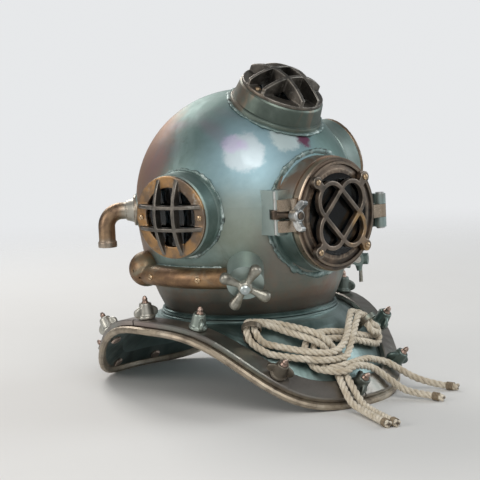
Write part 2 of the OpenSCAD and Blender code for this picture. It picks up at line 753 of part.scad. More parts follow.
bolt_nut_h = 15;
bolt_nut_r = 9;
module swing_bolt() {
    color("dimgray") aim_door() difference() {
        union() {
            on_bolt() cylinder(r = bolt_eye_r, h = 2 * (bolt_slot - gap), center = true);
            translate([-bolt_x, bolt_y, bolt_pivot]) cylinder(r = bolt_r, h = fork_reach + bolt_nut_h + 2);
        }
        on_bolt() cylinder(r = bolt_pin_r + run, h = 80, center = true);
    }
}

module door_wing_nut() {
    color("gainsboro") aim_door() translate([-bolt_x, bolt_y, door_face + gap])
        flared_nut(bolt_nut_r, bolt_nut_h, bolt_r + run, 80);
}

// The door's wing nut: a hub with two wings that sweep forward
module flared_nut(hub, high, bore, turn) {
    wing_t = 8;
    rotate([0, 0, turn]) difference() {
        union() {
            cylinder(r1 = hub - 1, r2 = hub, h = high - 3);
            translate([0, 0, high - 3]) cylinder(r1 = hub, r2 = hub - 2, h = 3);
            for (a = [0, 180]) rotate([90, 0, a]) translate([0, 0, -wing_t / 2])
                linear_extrude(wing_t) polygon([[hub - 4, 3], [hub + 3, 6], [hub + 10, 12],
                    [hub + 12, 18], [hub + 10, 22], [hub + 6, 22], [hub + 1, 16], [hub - 4, 12]]);
        }
        translate([0, 0, -1]) cylinder(r = bore, h = high + 20);
    }
}

// Exhaust valve, in a frame with +Z out along the valve's axis

valve_web = 4;
valve_cap = 6;
stem_r = 6;
exhaust_slot = 8;
module exhaust_valve_body() {
    color("cadetblue") difference() {
        aim_valve() difference() {
            translate([0, 0, -20]) cylinder(r = valve_r, h = valve_reach + 20);
            translate([0, 0, -40]) cylinder(r = port_r, h = 60);
            translate([0, 0, valve_web]) cylinder(r = valve_r - 4, h = valve_reach - valve_web - valve_cap);
            translate([0, 0, valve_web]) cylinder(r = stem_r + run, h = valve_reach);
            translate([0, 0, 15]) rotate([0, -90, 0]) cylinder(r = exhaust_slot, h = valve_r + 5);
        }
        bonnet_form(0);
    }
}

module exhaust_valve_stem() {
    button = -38;
    color("silver") aim_valve() {
        translate([0, 0, valve_web + gap]) cylinder(r = port_r + 3, h = 3);
        translate([0, 0, button]) cylinder(r = 3, h = valve_web + gap - button);
        translate([0, 0, button - 4]) cylinder(r = 14, h = 4);
    }
}

stem_foot = valve_web + 4 + valve_lift;
module exhaust_valve_spring() {
    color("gray") aim_valve() translate([0, 0, stem_foot]) difference() {
        cylinder(r = 10, h = 6);
        translate([0, 0, -1]) cylinder(r = stem_r + gap, h = 8);
    }
}

hub_z = valve_reach + 11;
arm_tip = 6.5;
module exhaust_handle() {
    color("lightgray") aim_valve() {
        translate([0, 0, stem_foot]) cylinder(r = stem_r, h = hub_z - stem_foot);
        translate([0, 0, stem_foot + 6 + gap]) cylinder(r = 10, h = 2);
        translate([0, 0, hub_z - 6]) cylinder(r = 9, h = 12);
        for (a = [60:90:330]) rotate([0, 0, a]) translate([0, 0, hub_z]) rotate([0, 90, 0])
            rotate_extrude() polygon(concat([[0, 2], [5.4, 2]],
                [for (b = [140:-14:0]) [0, handle_arm - arm_tip] + arm_tip * [sin(b), cos(b)]]));
    }
}
module exhaust_handle_cap() color("white") aim_valve() translate([0, 0, hub_z + 6])
    rotate_extrude() polygon([[0, 0], [7, 0], [7, 2], [5.5, 3.5], [0, 4]]);

channel_z = bonnet_z - 95;
channel_az = 110;
channel_ball_az = 113;
channel_rise = 11.9;
channel_out = form_r(channel_z, 0) + channel_rise;
channel_wall = 3;
channel_ball_z = channel_z + 6;
channel_ball_out = channel_out - 2;
module at_ball() at_neck() translate([0, 0, channel_ball_z]) rotate([0, 0, -channel_ball_az])
    translate([0, -channel_ball_out, 0]) children();
module channel_solid(inset) {
    half = channel_h / 2 - inset;
    at_neck() rotate([0, 0, 270 - channel_az]) rotate_extrude(angle = channel_az - valve_az + 4) {
        translate([root_r, channel_z - half]) square([channel_out - root_r, 2 * half]);
        translate([channel_out, channel_z]) circle(r = half);
    }
    at_ball() sphere(r = channel_ball_r - inset);
}
module exhaust_channel() {
    color("peru") difference() {
        channel_solid(0);
        channel_solid(channel_wall);
        bonnet_form(0);
        aim_valve() translate([0, 0, -30]) cylinder(r = valve_r, h = 90);
        at_ball() for (v = [-25, 0, 25], s = [-20, 20]) rotate([v, 0, s + v]) rotate([90, 0, 0])
            cylinder(r = 1.6, h = 40);
        channel_screw_holes(screw_r, 30);
    }
}
channel_screw_az = [68, 97];
module channel_screw_holes(r, h) {
    for (a = channel_screw_az) aim(a, 0, channel_z) translate([0, 0, channel_out]) cylinder(r = r, h = h);
}
module exhaust_channel_screws() {
    color("goldenrod") for (a = channel_screw_az)
        aim(a, 0, channel_z) translate([0, 0, channel_out + channel_h / 2]) pan_screw(channel_wall + 1);
}

// Elbows, in a frame with +Z out of the bonnet and +Y up

outlet_drop = 29;
outlet_collar = 8;
elbow_straight = elbow_out - elbow_bend;
module elbow_bent(r, extra) {
    translate([0, -elbow_bend, elbow_straight]) rotate([0, -90, 0]) rotate_extrude(angle = 90)
        translate([elbow_bend, 0]) circle(r = r);
    translate([0, -elbow_bend, elbow_out]) rotate([90, 0, 0]) cylinder(r = r, h = outlet_drop + extra);
}
module elbow(side) {
    foot = form_r(elbow_z, 0);
    bore = elbow_r - elbow_wall;
    color("peru") difference() {
        union() {
            difference() {
                aim(side * elbow_az, 0, elbow_z) rotate_extrude() polygon([[0, foot - 12],
                    [elbow_flange_r, foot - 12], [elbow_flange_r, foot + 3],
                    [elbow_flange_r - 1, foot + 4], [elbow_r + 5, foot + 4],
                    [elbow_r + 2, foot + 15], [elbow_r, foot + 15], [elbow_r, elbow_straight],
                    [0, elbow_straight]]);
                bonnet_form(0);
            }
            aim(side * elbow_az, 0, elbow_z) {
                elbow_bent(elbow_r, 0);
                translate([0, outlet_collar - elbow_bend - outlet_drop, elbow_out])
                    rotate([90, 0, 0]) cylinder(r = elbow_r + 1.5, h = outlet_collar);
            }
        }
        aim(side * elbow_az, 0, elbow_z) {
            elbow_bent(bore, 1);
            translate([0, 0, foot - 20]) cylinder(r = bore, h = elbow_straight - foot + 20);
        }
    }
}
module air_elbow() elbow(1);
module telephone_elbow() elbow(-1);

flap_r = 7.6;
flap_hinge = 10;
flap_z = form_r(elbow_z, 0) - bonnet_wall - 5;
module air_valve_seat() {
    tube = elbow_r - elbow_wall;
    color("goldenrod") aim(elbow_az, 0, elbow_z) {
        difference() {
            translate([0, 0, flap_z + 2]) cylinder(r = tube - run, h = 9);
            translate([0, 0, flap_z]) cylinder(r = tube - 3, h = 20);
        }
        for (s = [-1, 1]) translate([s * 4.5 - 1, 4, flap_z - 2]) cube([2, flap_hinge - 3, 4 + gap]);
        translate([-5.5, flap_hinge, flap_z]) rotate([0, 90, 0]) cylinder(r = 1, h = 11);
    }
}
module air_valve_flap() {
    color("saddlebrown") aim(elbow_az, 0, elbow_z) difference() {
        union() {
            translate([0, 0, flap_z - 0.3]) cylinder(r = flap_r, h = 2);
            translate([-3, flap_hinge, flap_z]) rotate([0, 90, 0]) cylinder(r = 1.8, h = 6);
            translate([-3, 4, flap_z - 0.3]) cube([6, flap_hinge - 4, 1.6]);
        }
        translate([-10, flap_hinge, flap_z]) rotate([0, 90, 0]) cylinder(r = 1 + run, h = 20);
        for (s = [-1, 1]) translate([s * 4.6 - 1.4, 3.6, flap_z - 3]) cube([2.8, 10, 8]);
    }
}

// Spitcock

cock_face = form_r(cock_z, 0);
cock_root = cock_face - 13;
plug_z = cock_face + 17.8;
plug_r = 5;
lever_len = 35;
module spitcock_body() {
    color("cadetblue") difference() {
        aim(cock_az, 0, cock_z) difference() {
            union() {
                translate([0, 0, cock_root]) cylinder(r = 13, h = cock_face - cock_root + 5);
                translate([0, 0, cock_root]) cylinder(r = 8, h = 44);
                translate([-9, 0, plug_z]) rotate([0, 90, 0]) cylinder(r = 9, h = 18);
                translate([0, 0, plug_z]) rotate([90, 0, 0]) cylinder(r1 = 8, r2 = 3, h = 17);
            }
            translate([0, 0, cock_root - 10]) cylinder(r = cock_bore, h = 80);
            translate([-20, 0, plug_z]) rotate([0, 90, 0]) cylinder(r = plug_r, h = 40);
        }
        bonnet_form(0);
    }
}
module spitcock_lever() {
    color("gainsboro") aim(cock_az, 0, cock_z) difference() {
        union() {
            translate([-10, 0, plug_z]) rotate([0, 90, 0]) cylinder(r = plug_r - run, h = 22);
            translate([12, 0, plug_z]) rotate([0, 90, 0]) cylinder(r = 7, h = 4);
            translate([14, 0, plug_z]) rotate([90, 0, 0]) cylinder(r1 = 2, r2 = 2.8, h = lever_len);
        }
        translate([0, 0, plug_z - 20]) cylinder(r = cock_bore - 0.5, h = 40);
    }
}

// Ducts soldered inside the dome, from the air inlet towards an azimuth and an elevation

duct_w = 20;
duct_h = 7;
duct_wall = 1.5;
duct_start = 13.5;
side_duct_start = 18.5;
front_stop = 0.7;
side_stop = asin((window_bore + 7.5) / bonnet_r);
function direction(az, el) = [-sin(az) * cos(el), -cos(az) * cos(el), sin(el)];
module duct(az, el, start, stop) {
    a = direction(elbow_az, asin((elbow_z - bonnet_z) / bonnet_r));
    n = unit(cross(a, direction(az, el)));
    b = cross(n, a);
    end = acos(a * direction(az, el)) - stop;
    top = bonnet_r - bonnet_wall - 1.2;
    low = top - duct_h;
    half = duct_w / 2;
    color("darkgray") multmatrix([[a[0], b[0], n[0], 0], [a[1], b[1], n[1], -neck_fore],
        [a[2], b[2], n[2], bonnet_z], [0, 0, 0, 1]])
        rotate([0, 0, start]) rotate_extrude(angle = end - start)
            polygon([[low, -half], [top, -half], [top, duct_wall - half],
                [low + duct_wall, duct_wall - half], [low + duct_wall, half - duct_wall],
                [top, half - duct_wall], [top, half], [low, half]]);
}
module air_duct_front() duct(12, 26, duct_start, front_stop);
module air_duct_right() duct(right_az, right_el, side_duct_start, side_stop);
module air_duct_left() duct(left_az, left_el, duct_start, side_stop);

// Line: tubes with a ring across each bend of their route

function route_dir(p, i) = unit((i < len(p) - 1 ? unit(p[i + 1] - p[i]) : [0, 0, 0])
    + (i > 0 ? unit(p[i] - p[i - 1]) : [0, 0, 0]));
function squared(v, d) = unit(v - (v * d) * d);
function route_sides(p) = [for (i = 0, v = squared([0, 0, 1], route_dir(p, 0)); i < len(p);
    i = i + 1, v = i < len(p) ? squared(v, route_dir(p, i)) : v) v];
module tube(p) {
    n = line_sides;
    side = route_sides(p);
    pts = [for (i = [0:len(p) - 1], k = [0:n - 1]) p[i] + line_r * (cos(360 * k / n) * side[i]
        + sin(360 * k / n) * cross(route_dir(p, i), side[i]))];
    skin = [for (i = [0:len(p) - 2], k = [0:n - 1])
        let (a = i * n + k, b = i * n + (k + 1) % n)
        each [[a, a + n, b + n], [a, b + n, b]]];
    ends = [[for (k = [0:n - 1]) k], [for (k = [n - 1:-1:0]) (len(p) - 1) * n + k]];
    polyhedron(points = pts, faces = concat(skin, ends), convexity = 10);
}
module line_outer() color("tan") tube(line_outer_route);
module line_inner() color("tan") tube(line_inner_route);

breastplate_shell();
breastplate_rim();
breastplate_neck_ring();
neck_gasket();
brail_front();
brail_rear();
brail_right();
brail_left();
breastplate_studs();
breastplate_wing_nuts();
padeyes();
latch_bracket();
latch_pin();
safety_latch();
latch_catch();
bonnet_shell();
bonnet_neck_ring();
right_window_frame();
right_window_gasket();
right_window_glass();
right_window_guard();
left_window_frame();
left_window_gasket();
left_window_glass();
left_window_guard();
top_window_frame();
top_window_gasket();
top_window_glass();
top_window_guard();
window_screws();
door_seat();
door_seat_gasket();
door_frame();
door_gasket();
door_glass();
door_guard();
door_guard_screws();
door_hinge_pin();
swing_bolt_pin();
swing_bolt();
door_wing_nut();
exhaust_valve_body();
exhaust_channel();
exhaust_channel_screws();
exhaust_valve_stem();
exhaust_valve_spring();
exhaust_handle();
exhaust_handle_cap();
air_elbow();
air_valve_seat();
air_valve_flap();
telephone_elbow();
spitcock_body();
spitcock_lever();
air_duct_front();
air_duct_right();
air_duct_left();
line_outer();
line_inner();
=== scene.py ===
import math
import random

import bpy
from mathutils import Matrix, Quaternion, Vector, noise


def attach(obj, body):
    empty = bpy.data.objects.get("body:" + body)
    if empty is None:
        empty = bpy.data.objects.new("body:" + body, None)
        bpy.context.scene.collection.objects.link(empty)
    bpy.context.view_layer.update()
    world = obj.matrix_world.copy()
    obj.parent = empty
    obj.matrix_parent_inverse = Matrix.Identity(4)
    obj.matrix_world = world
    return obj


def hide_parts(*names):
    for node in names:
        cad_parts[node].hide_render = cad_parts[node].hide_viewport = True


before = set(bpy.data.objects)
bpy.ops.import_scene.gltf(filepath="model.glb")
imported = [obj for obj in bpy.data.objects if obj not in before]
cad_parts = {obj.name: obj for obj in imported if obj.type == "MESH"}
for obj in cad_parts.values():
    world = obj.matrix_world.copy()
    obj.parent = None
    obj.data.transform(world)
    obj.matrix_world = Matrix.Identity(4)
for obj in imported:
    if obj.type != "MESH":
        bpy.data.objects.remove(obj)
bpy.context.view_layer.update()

MM = 0.001
UP = Vector((0, 0, 1))
chance = random.Random(31)


# Camera, at the photograph's place and roll

def photo_camera():
    """The camera of the photograph: its place, where it looks, its lens and its roll."""
    data = bpy.data.cameras.new("photo_camera")
    data.sensor_width = 36
    data.lens = 115.275
    camera = bpy.data.objects.new("photo_camera", data)
    bpy.context.scene.collection.objects.link(camera)
    place = Vector((-1.52243, -1.59053, 0.46374))
    look_at = Vector((-0.01069, -0.01101, 0.21164))
    roll = Quaternion((0, 0, 1), math.radians(-2.63))
    turn = (look_at - place).to_track_quat("-Z", "Y") @ roll
    camera.matrix_world = Matrix.Translation(place) @ turn.to_matrix().to_4x4()
    bpy.context.scene.camera = camera


photo_camera()


# Places, in the helmet's own millimetres and degrees

NECK_FORE = 14.0
BONNET = Vector((0, -NECK_FORE, 272))
BONNET_R, BONNET_DROP = 155.0, 238.0

# Each fitting's azimuth from the front towards the wearer's right, its elevation, and the height
# on the neck's axis that it points away from
RIGHT_WINDOW = (78, -3, 272)
LEFT_WINDOW = (-82, 16, 272)
TOP_WINDOW = (0, 61, 272)
DOOR = (0, 0, 255)
AIR_ELBOW = (130, 0, 262)
TELEPHONE_ELBOW = (-130, 0, 262)
SPITCOCK = (-33, 0, 181)
EXHAUST = (45.5, 0, 188)
EXHAUST_DIP = -23
CHANNEL_Z = 177
CHANNEL_ENDS = (58, 104)

RIM_HALF_WIDTH, RIM_HALF_LENGTH = 184.0, 238.0
RIM_POWER = 2 / 2.04
RIM_TOP, RIM_DROP, RIM_SWEEP = 104.0, 100.0, 1.55
RIM_TILT, RIM_END_TILT = 2.0, 46.0
STUD_INSET, NUT_SEAT = 18, 13.9
STUD_ANGLES = (20, 52, 84, 116, 147, 175, 198, 227, 264, 303, 325, 349)


def aimed(az, el, z0):
    """The origin and the three axes of a fitting that points out of the bonnet."""
    a, e = math.radians(az), math.radians(el)
    out = Vector((-math.cos(e) * math.sin(a), -math.cos(e) * math.cos(a), math.sin(e)))
    right = Vector((math.cos(a), -math.sin(a), 0))
    return Vector((0, -NECK_FORE, z0)), (right, out.cross(right), out)


def rim_fall(y):
    """How far the rim has come down from the shoulders, 0 to 1."""
    along = min(1.0, abs(y) / RIM_HALF_LENGTH)
    return 0.5 - 0.5 * math.cos(math.pi * along**RIM_SWEEP)


def rim_point(t):
    """The rim's outer edge at an angle of its oval."""
    c, d = math.cos(math.radians(t)), math.sin(math.radians(t))
    x = RIM_HALF_WIDTH * math.copysign(abs(c)**RIM_POWER, c)
    y = RIM_HALF_LENGTH * math.copysign(abs(d)**RIM_POWER, d)
    return Vector((x, y, RIM_TOP - RIM_DROP * rim_fall(y)))


def on_rim(t, inset, height):
    """A point over the rim's flange at an angle of its oval, and its axes."""
    here = rim_point(t)
    ahead = (rim_point(t + 0.5) - rim_point(t - 0.5)).normalized()
    inward = Vector((-ahead.y, ahead.x, 0)).normalized()
    rise = ahead.cross(inward)
    tilt = math.radians(RIM_TILT + RIM_END_TILT * rim_fall(here.y))
    wide = math.cos(tilt) * inward + math.sin(tilt) * rise
    normal = math.cos(tilt) * rise - math.sin(tilt) * inward
    return here + inset * wide + height * normal, (ahead, normal.cross(ahead), normal)


# Finishes

class Wire:
    """One output of a material's node, ready for Python's operators."""

    def __init__(self, finish, out):
        self.finish, self.out = finish, out

    def maths(self, operation, first, second=0.0):
        return self.finish.node("Math", {"operation": operation}, {0: first, 1: second})

    def __add__(self, other):
        return self.maths("ADD", self, other)

    __radd__ = __add__

    def __sub__(self, other):
        return self.maths("SUBTRACT", self, other)

    def __rsub__(self, other):
        return self.maths("SUBTRACT", other, self)

    def __mul__(self, other):
        return self.maths("MULTIPLY", self, other)

    __rmul__ = __mul__

    def wave(self):
        return self.maths("SINE", self)

    def clip(self, low, high):
        """0 below low, 1 above high and smooth between them."""
        return self.finish.node("MapRange", {"interpolation_type": "SMOOTHSTEP"},
                                {"Value": self, "From Min": low, "From Max": high})


class Finish:
    """A node material for one surface, with the shader's own constants."""

    def __init__(self, name, **constants):
        self.material = bpy.data.materials.new(name)
        self.material.use_nodes = True
        self.tree = self.material.node_tree
        self.shader = self.tree.nodes["Principled BSDF"]
        for key, value in constants.items():
            self.shader.inputs[key.replace("_", " ")].default_value = value
        self.at = self.node("TexCoord", {}, {}, "Object")

    def node(self, kind, settings, inputs, out=0):
        """Any node of a kind, with its settings and with values or wires for its inputs."""
        made = self.tree.nodes.new("ShaderNode" + kind)
        for key, value in settings.items():
            setattr(made, key, value)
        for key, value in inputs.items():
            if isinstance(value, Wire):
                self.tree.links.new(value.out, made.inputs[key])
            else:
                made.inputs[key].default_value = value
        return Wire(self, made.outputs[out])

    def noise(self, scale, detail=4.0, roughness=0.55, distortion=0.0):
        return self.node("TexNoise", {}, {"Vector": self.at, "Scale": scale, "Detail": detail,
                                          "Roughness": roughness, "Distortion": distortion})

    def pits(self, scale):
        return self.node("TexVoronoi", {}, {"Vector": self.at, "Scale": scale})

    def part(self, axis):
        return self.node("SeparateXYZ", {}, {0: self.at}, axis)

    def near(self, point, low, high, ragged=0.0, grain=40):
        """1 within the low distance of a point and 0 beyond the high one, in millimetres."""
        away = self.node("VectorMath", {"operation": "DISTANCE"},
                         {0: self.at, 1: [v * MM for v in point]}, "Value")
        if ragged:
            away = away + (self.noise(grain, 6, 0.7) - 0.5) * (ragged * MM)
        return 1 - away.clip(low * MM, high * MM)

    def along(self, direction):
        """How far a place lies along a direction from the rim's middle, in metres."""
        return self.node("VectorMath", {"operation": "DOT_PRODUCT"},
                         {0: self.at, 1: direction}, "Value")

    def attribute(self, name):
        return self.node("Attribute", {"attribute_name": name}, {}, "Fac")

    def edges(self, low, high):
        """1 on edges that stand out, 0 on flats and in corners."""
        return self.node("NewGeometry", {}, {}, "Pointiness").clip(low, high)

    def blend(self, first, second, factor):
        """The second colour over the first one, by a factor."""
        colour = [v if isinstance(v, Wire) else (*v, 1) for v in (first, second)]
        return self.node("Mix", {"data_type": "RGBA"}, {0: factor, 6: colour[0], 7: colour[1]}, 2)

    def set(self, **wires):
        for key, value in wires.items():
            self.tree.links.new(value.out, self.shader.inputs[key.replace("_", " ")])

    def relief(self, height, depth):
        """Bump of a depth in millimetres."""
        bump = self.node("Bump", {}, {"Height": height, "Distance": depth * MM, "Strength": 1.0},
                         "Normal")
        self.set(Normal=bump)


def tinned_copper(name, base, pale, worn, shine, rub=None, extra=None, edged=True):
    """Worn tin over copper: a cloudy skin, copper where it's rubbed, and faint dents.

    With edged, its edges are pale and its corners dark.
    """
    f = Finish(name, Metallic=0.85)
    cloud = f.noise(7, 6, 0.6, 0.6)
    fine = f.noise(60, 6, 0.7)
    stain = f.noise(18, 8, 0.7, 1.2)
    skin = f.blend(base, pale, cloud.clip(0.40, 0.72))
    skin = f.blend(skin, [v * 0.5 for v in base], stain.clip(0.56, 0.78) * 0.7)
    skin = f.blend(skin, [v * 0.3 for v in base], fine.clip(0.66, 0.74) * 0.5)
    rubbed = f.noise(11, 8, 0.7, 0.6) * 0.5 + fine * 0.22
    if rub:
        rubbed = rubbed + rub(f)
    skin = f.blend(skin, worn, rubbed.clip(0.56, 0.92) * 0.85)
    if edged:
        skin = f.blend(skin, [min(1, v * 1.3) for v in pale], f.edges(0.53, 0.6) * 0.5)
        skin = f.blend(skin, [v * 0.25 for v in base], (1 - f.edges(0.42, 0.485)) * 0.7)
    if extra:
        skin = extra(f, skin)
    f.set(Base_Color=skin, Roughness=shine + 0.25 * stain + 0.15 * fine - 0.05 * cloud)
    f.relief(f.noise(260, 4, 0.6) * 0.14 + f.noise(26, 3) * 1.2 + stain * 0.3, 0.5)
    return f


def old_brass(name, base, dark, rubbed_and_lit_edge, shine=0.26, extra=None):
    """Cast brass: brown in its hollows, lighter along its edges with rubbed wear and a painted
    highlight.
    """
    f = Finish(name, Metallic=0.92)
    cloud = f.noise(30, 7, 0.65, 0.7)
    grime = f.noise(120, 6, 0.7)
    skin = f.blend(dark, base, (cloud + 0.3 * grime).clip(0.46, 0.84))
    if extra:
        skin = extra(f, skin)
    # Lighter edges: rubbed wear with a painted highlight.
    skin = f.blend(skin, rubbed_and_lit_edge, f.edges(0.515, 0.59) * 0.7)
    skin = f.blend(skin, [v * 0.3 for v in dark], (1 - f.edges(0.43, 0.49)) * 0.85)
    f.set(Base_Color=skin, Roughness=shine + 0.3 * grime * (1 - f.edges(0.5, 0.58)))
    f.relief(grime * 0.7 + f.noise(420, 3) * 0.3 + cloud * 0.6, 0.35)
    return f


def rope_finish():
    """Natural fibre: pale on the crowns, brown between the strands, with fine twisted yarns."""
    f = Finish("rope_fibre", Roughness=0.92, Sheen_Weight=0.25, Sheen_Roughness=0.6)
    yarn = (f.attribute("yarn") * (2 * math.pi)).wave()
    crown = f.attribute("crown")
    dust = f.noise(70, 5, 0.65)
    fibre = f.noise(900, 3, 0.7)
    straw = f.blend((0.54, 0.46, 0.33), (0.86, 0.79, 0.66), (dust + 0.3 * fibre).clip(0.35, 0.85))
    straw = f.blend(straw, (0.44, 0.34, 0.22), f.noise(22, 6, 0.65).clip(0.5, 0.66) * 0.45)
    straw = f.blend((0.13, 0.085, 0.045), straw, crown.clip(0.32, 0.86))
    straw = f.blend(straw, (0.30, 0.23, 0.14), (yarn * -1).clip(0.35, 1.0) * 0.5)
    f.set(Base_Color=straw)
    f.relief(yarn * 0.5 + fibre * 0.9 + dust * 0.4, 0.35)
    return f


def twine_finish():
    """Brown waxed twine, turn by turn a little darker or paler."""
    f = Finish("whipping_twine", Roughness=0.85)
    turn = f.noise(500, 3, 0.6)
    f.set(Base_Color=f.blend((0.16, 0.12, 0.08), (0.34, 0.27, 0.18), turn.clip(0.3, 0.7)))
    f.relief(turn, 0.15)
    return f


def loose_finish():
    """The rope's stray fibres, paler than its strands."""
    f = Finish("loose_fibre", Roughness=0.9)
    f.set(Base_Color=f.blend((0.55, 0.47, 0.35), (0.85, 0.79, 0.67), f.noise(300).clip(0.3, 0.7)))
    return f


def window_glass():
    """Thick glass tinted very dark, a painted shade standing for the helmet's dark inside, with
    faint smears.
    """
    f = Finish("window_glass", Transmission_Weight=1.0, IOR=1.5)
    smear = f.noise(40, 5, 0.6, 0.5)
    # Painted shade: the dark tint stands for the shaded inside of the bonnet.
    f.set(Base_Color=f.blend((0.10, 0.14, 0.17), (0.06, 0.08, 0.10), smear.clip(0.45, 0.7)),
          Roughness=smear.clip(0.5, 0.8) * 0.12 + 0.02)
    f.relief(smear, 0.05)
    return f


def soft_finish(name, base, pale, rough, grain, depth):
    """Leather and rubber: a fine grain, scuffed paler in places."""
    f = Finish(name)
    scuff = f.noise(60, 6, 0.7)
    f.set(Base_Color=f.blend(base, pale, scuff.clip(0.5, 0.75)), Roughness=rough + 0.15 * scuff)
    f.relief(f.pits(grain) + 0.5 * scuff, depth)
    return f


def steel_finish():
    """Steel pins and springs with a little rust."""
    f = Finish("worn_steel", Metallic=1.0)
    rust = f.noise(90, 6, 0.7)
    f.set(Base_Color=f.blend((0.56, 0.57, 0.56), (0.24, 0.19, 0.15), rust.clip(0.55, 0.75)),
          Roughness=0.3 + 0.3 * rust)
    f.relief(rust, 0.2)
    return f


def solder_finish():
    """Dull solder: teal like the tin, with pale lumps and dark pits."""
    f = Finish("solder", Metallic=0.7)
    bead = f.noise(110, 6, 0.7)
    lumps = (bead * 0.5 + f.noise(28, 4) * 0.5).clip(0.46, 0.62)
    skin = f.blend((0.17, 0.235, 0.225), (0.58, 0.67, 0.65), lumps)
    skin = f.blend(skin, (0.07, 0.08, 0.075), f.noise(50, 5, 0.7).clip(0.56, 0.64) * 0.85)
    f.set(Base_Color=skin, Roughness=0.35 + 0.3 * bead)
    f.relief(bead + f.noise(300, 4) * 0.5, 0.7)
    return f


def spotted(f, skin, rows):
    """Lays spots over a skin: a colour and its share, then what near() takes."""
    for colour, share, *spot in rows:
        skin = f.blend(skin, colour, f.near(*spot) * share)
    return skin


def bonnet_rub(f):
    """The bonnet is rubbed to copper behind the right window and low down."""
    side = f.along((-0.685, 0.66, 0.309)).clip(0.148, 0.232)
    low = 1 - f.part("Z").clip(0.13, 0.27)
    return side * 0.56 + low * 0.40


# Wide areas of blue, cream and brown, the blue one a painted highlight, and patches in front of
# the top window: a pale one with lilac over it, which is a painted highlight, a bare one paler
# still, and a dark spot
HIGHLIGHT_LILAC = (0.50, 0.44, 0.62)
BONNET_AREAS_AND_SHEEN = (
    # The blue area is a painted highlight.
    ((0.34, 0.50, 0.58), 0.7, (-85, -125, 340), 20, 120, 60, 8),
    ((0.40, 0.40, 0.31), 0.5, (-108, -108, 248), 15, 75, 50, 9),
    ((0.29, 0.22, 0.18), 0.6, (-52, -140, 205), 15, 75, 50, 11))
BONNET_PATCHES_AND_HIGHLIGHT = (
    # The pale patch and the lilac over it are a painted highlight.
    ((0.62, 0.67, 0.70), 0.62, (-93, -112, 344), 23, 33, 26, 60),
    (HIGHLIGHT_LILAC, 0.6, (-101, -97, 357), 9, 18, 18, 60),
    (HIGHLIGHT_LILAC, 0.6, (-90, -107, 353), 3, 12, 18, 60),
    ((0.55, 0.64, 0.64), 0.85, (-36, -135, 362), 16, 28, 36, 60),
    ((0.13, 0.03, 0.07), 0.92, (-10, -144, 355), 6, 14, 22, 120))


def bonnet_marks(f, skin):
    """Violet heat tints, a foot darkened as painted shade, and the areas and patches above."""
    skin = spotted(f, skin, BONNET_AREAS_AND_SHEEN)
    skin = f.blend(skin, (0.27, 0.18, 0.24), f.noise(5, 3, 0.5, 0.8).clip(0.54, 0.72) * 0.4)
    # Painted shade: darker towards the neck.
    skin = f.blend(skin, (0.075, 0.075, 0.068), (1 - f.part("Z").clip(0.125, 0.165)) * 0.6)
    return spotted(f, skin, BONNET_PATCHES_AND_HIGHLIGHT)


def rim_marks(f, skin):
    """Dark patches, a reddish right side, and a rolled edge of bare worn brass."""
    wide = f.part("X") * (1 / (RIM_HALF_WIDTH * MM))
    long = f.part("Y") * (1 / (RIM_HALF_LENGTH * MM))
    edge = (wide * wide + long * long).clip(0.945, 0.968)
    skin = f.blend(skin, (0.075, 0.095, 0.09), f.noise(9, 5, 0.6, 0.6).clip(0.48, 0.62) * 0.8)
    skin = f.blend(skin, (0.30, 0.21, 0.20), f.near((-186, 20, 104), 30, 90, 60, 12) * 0.6)
    bare = f.blend((0.40, 0.34, 0.26), (0.20, 0.165, 0.13), f.noise(45, 7, 0.7).clip(0.42, 0.68))
    bare = f.blend(bare, (0.62, 0.57, 0.48), f.noise(16, 4).clip(0.5, 0.7) * 0.6)
    return f.blend(skin, bare, edge)


def strap_marks(f, skin):
    """The straps are teal in places, rubbed grey in others and reddish at the right side."""
    skin = f.blend(skin, (0.11, 0.17, 0.155), f.noise(11, 5, 0.6, 0.6).clip(0.5, 0.62) * 0.75)
    skin = f.blend(skin, (0.33, 0.30, 0.27), f.noise(16, 6, 0.65, 0.9).clip(0.53, 0.66) * 0.65)
    skin = f.blend(skin, (0.27, 0.19, 0.185), f.near((-170, 30, 118), 20, 80, 60, 14) * 0.7)
    return f.blend(skin, (0.045, 0.05, 0.048), f.noise(24, 5, 0.7).clip(0.58, 0.68) * 0.7)


def patchy(colour, grain, low, high, share):
    """Cloudy patches of another colour."""
    def extra(f, skin):
        return f.blend(skin, colour, f.noise(grain, 5, 0.6, 0.8).clip(low, high) * share)
    return extra


def window_marks(f, skin):
    """Orange copper on the side windows' flat rings, and flecks worn to grey."""
    ring_top = 180.5 * MM
    orange = f.blend((0.46, 0.245, 0.08), (0.17, 0.115, 0.075),
                     f.noise(16, 5, 0.6).clip(0.42, 0.56))
    for fitting, side, share in ((RIGHT_WINDOW, -1, 0.85), (LEFT_WINDOW, 1, 0.25)):
        origin, (_, _, out) = aimed(*fitting)
        face = out.dot(origin) * MM + ring_top
        ring = 1 - f.along(out).clip(face, face + 1.7 * MM)
        skin = f.blend(skin, orange, ring * (f.part("X") * side).clip(0.05, 0.08) * share)
    worn = f.noise(55, 6, 0.7).clip(0.55, 0.66) * (1 - f.noise(12).clip(0.45, 0.6))
    return f.blend(skin, (0.44, 0.43, 0.39), worn * 0.7)


def elbow_marks(f, skin):
    """The elbows keep some plating at their flanges and outlets."""
    flange, outlet, hang = 156, 199, 53
    for elbow in (TELEPHONE_ELBOW, AIR_ELBOW):
        origin, (_, _, out) = aimed(*elbow)
        skin = spotted(f, skin, (
            ((0.50, 0.50, 0.45), 0.85, origin + flange * out, 14, 30, 20),
            ((0.48, 0.46, 0.42), 0.8, origin + outlet * out - hang * UP, 8, 22, 14)))
    return skin


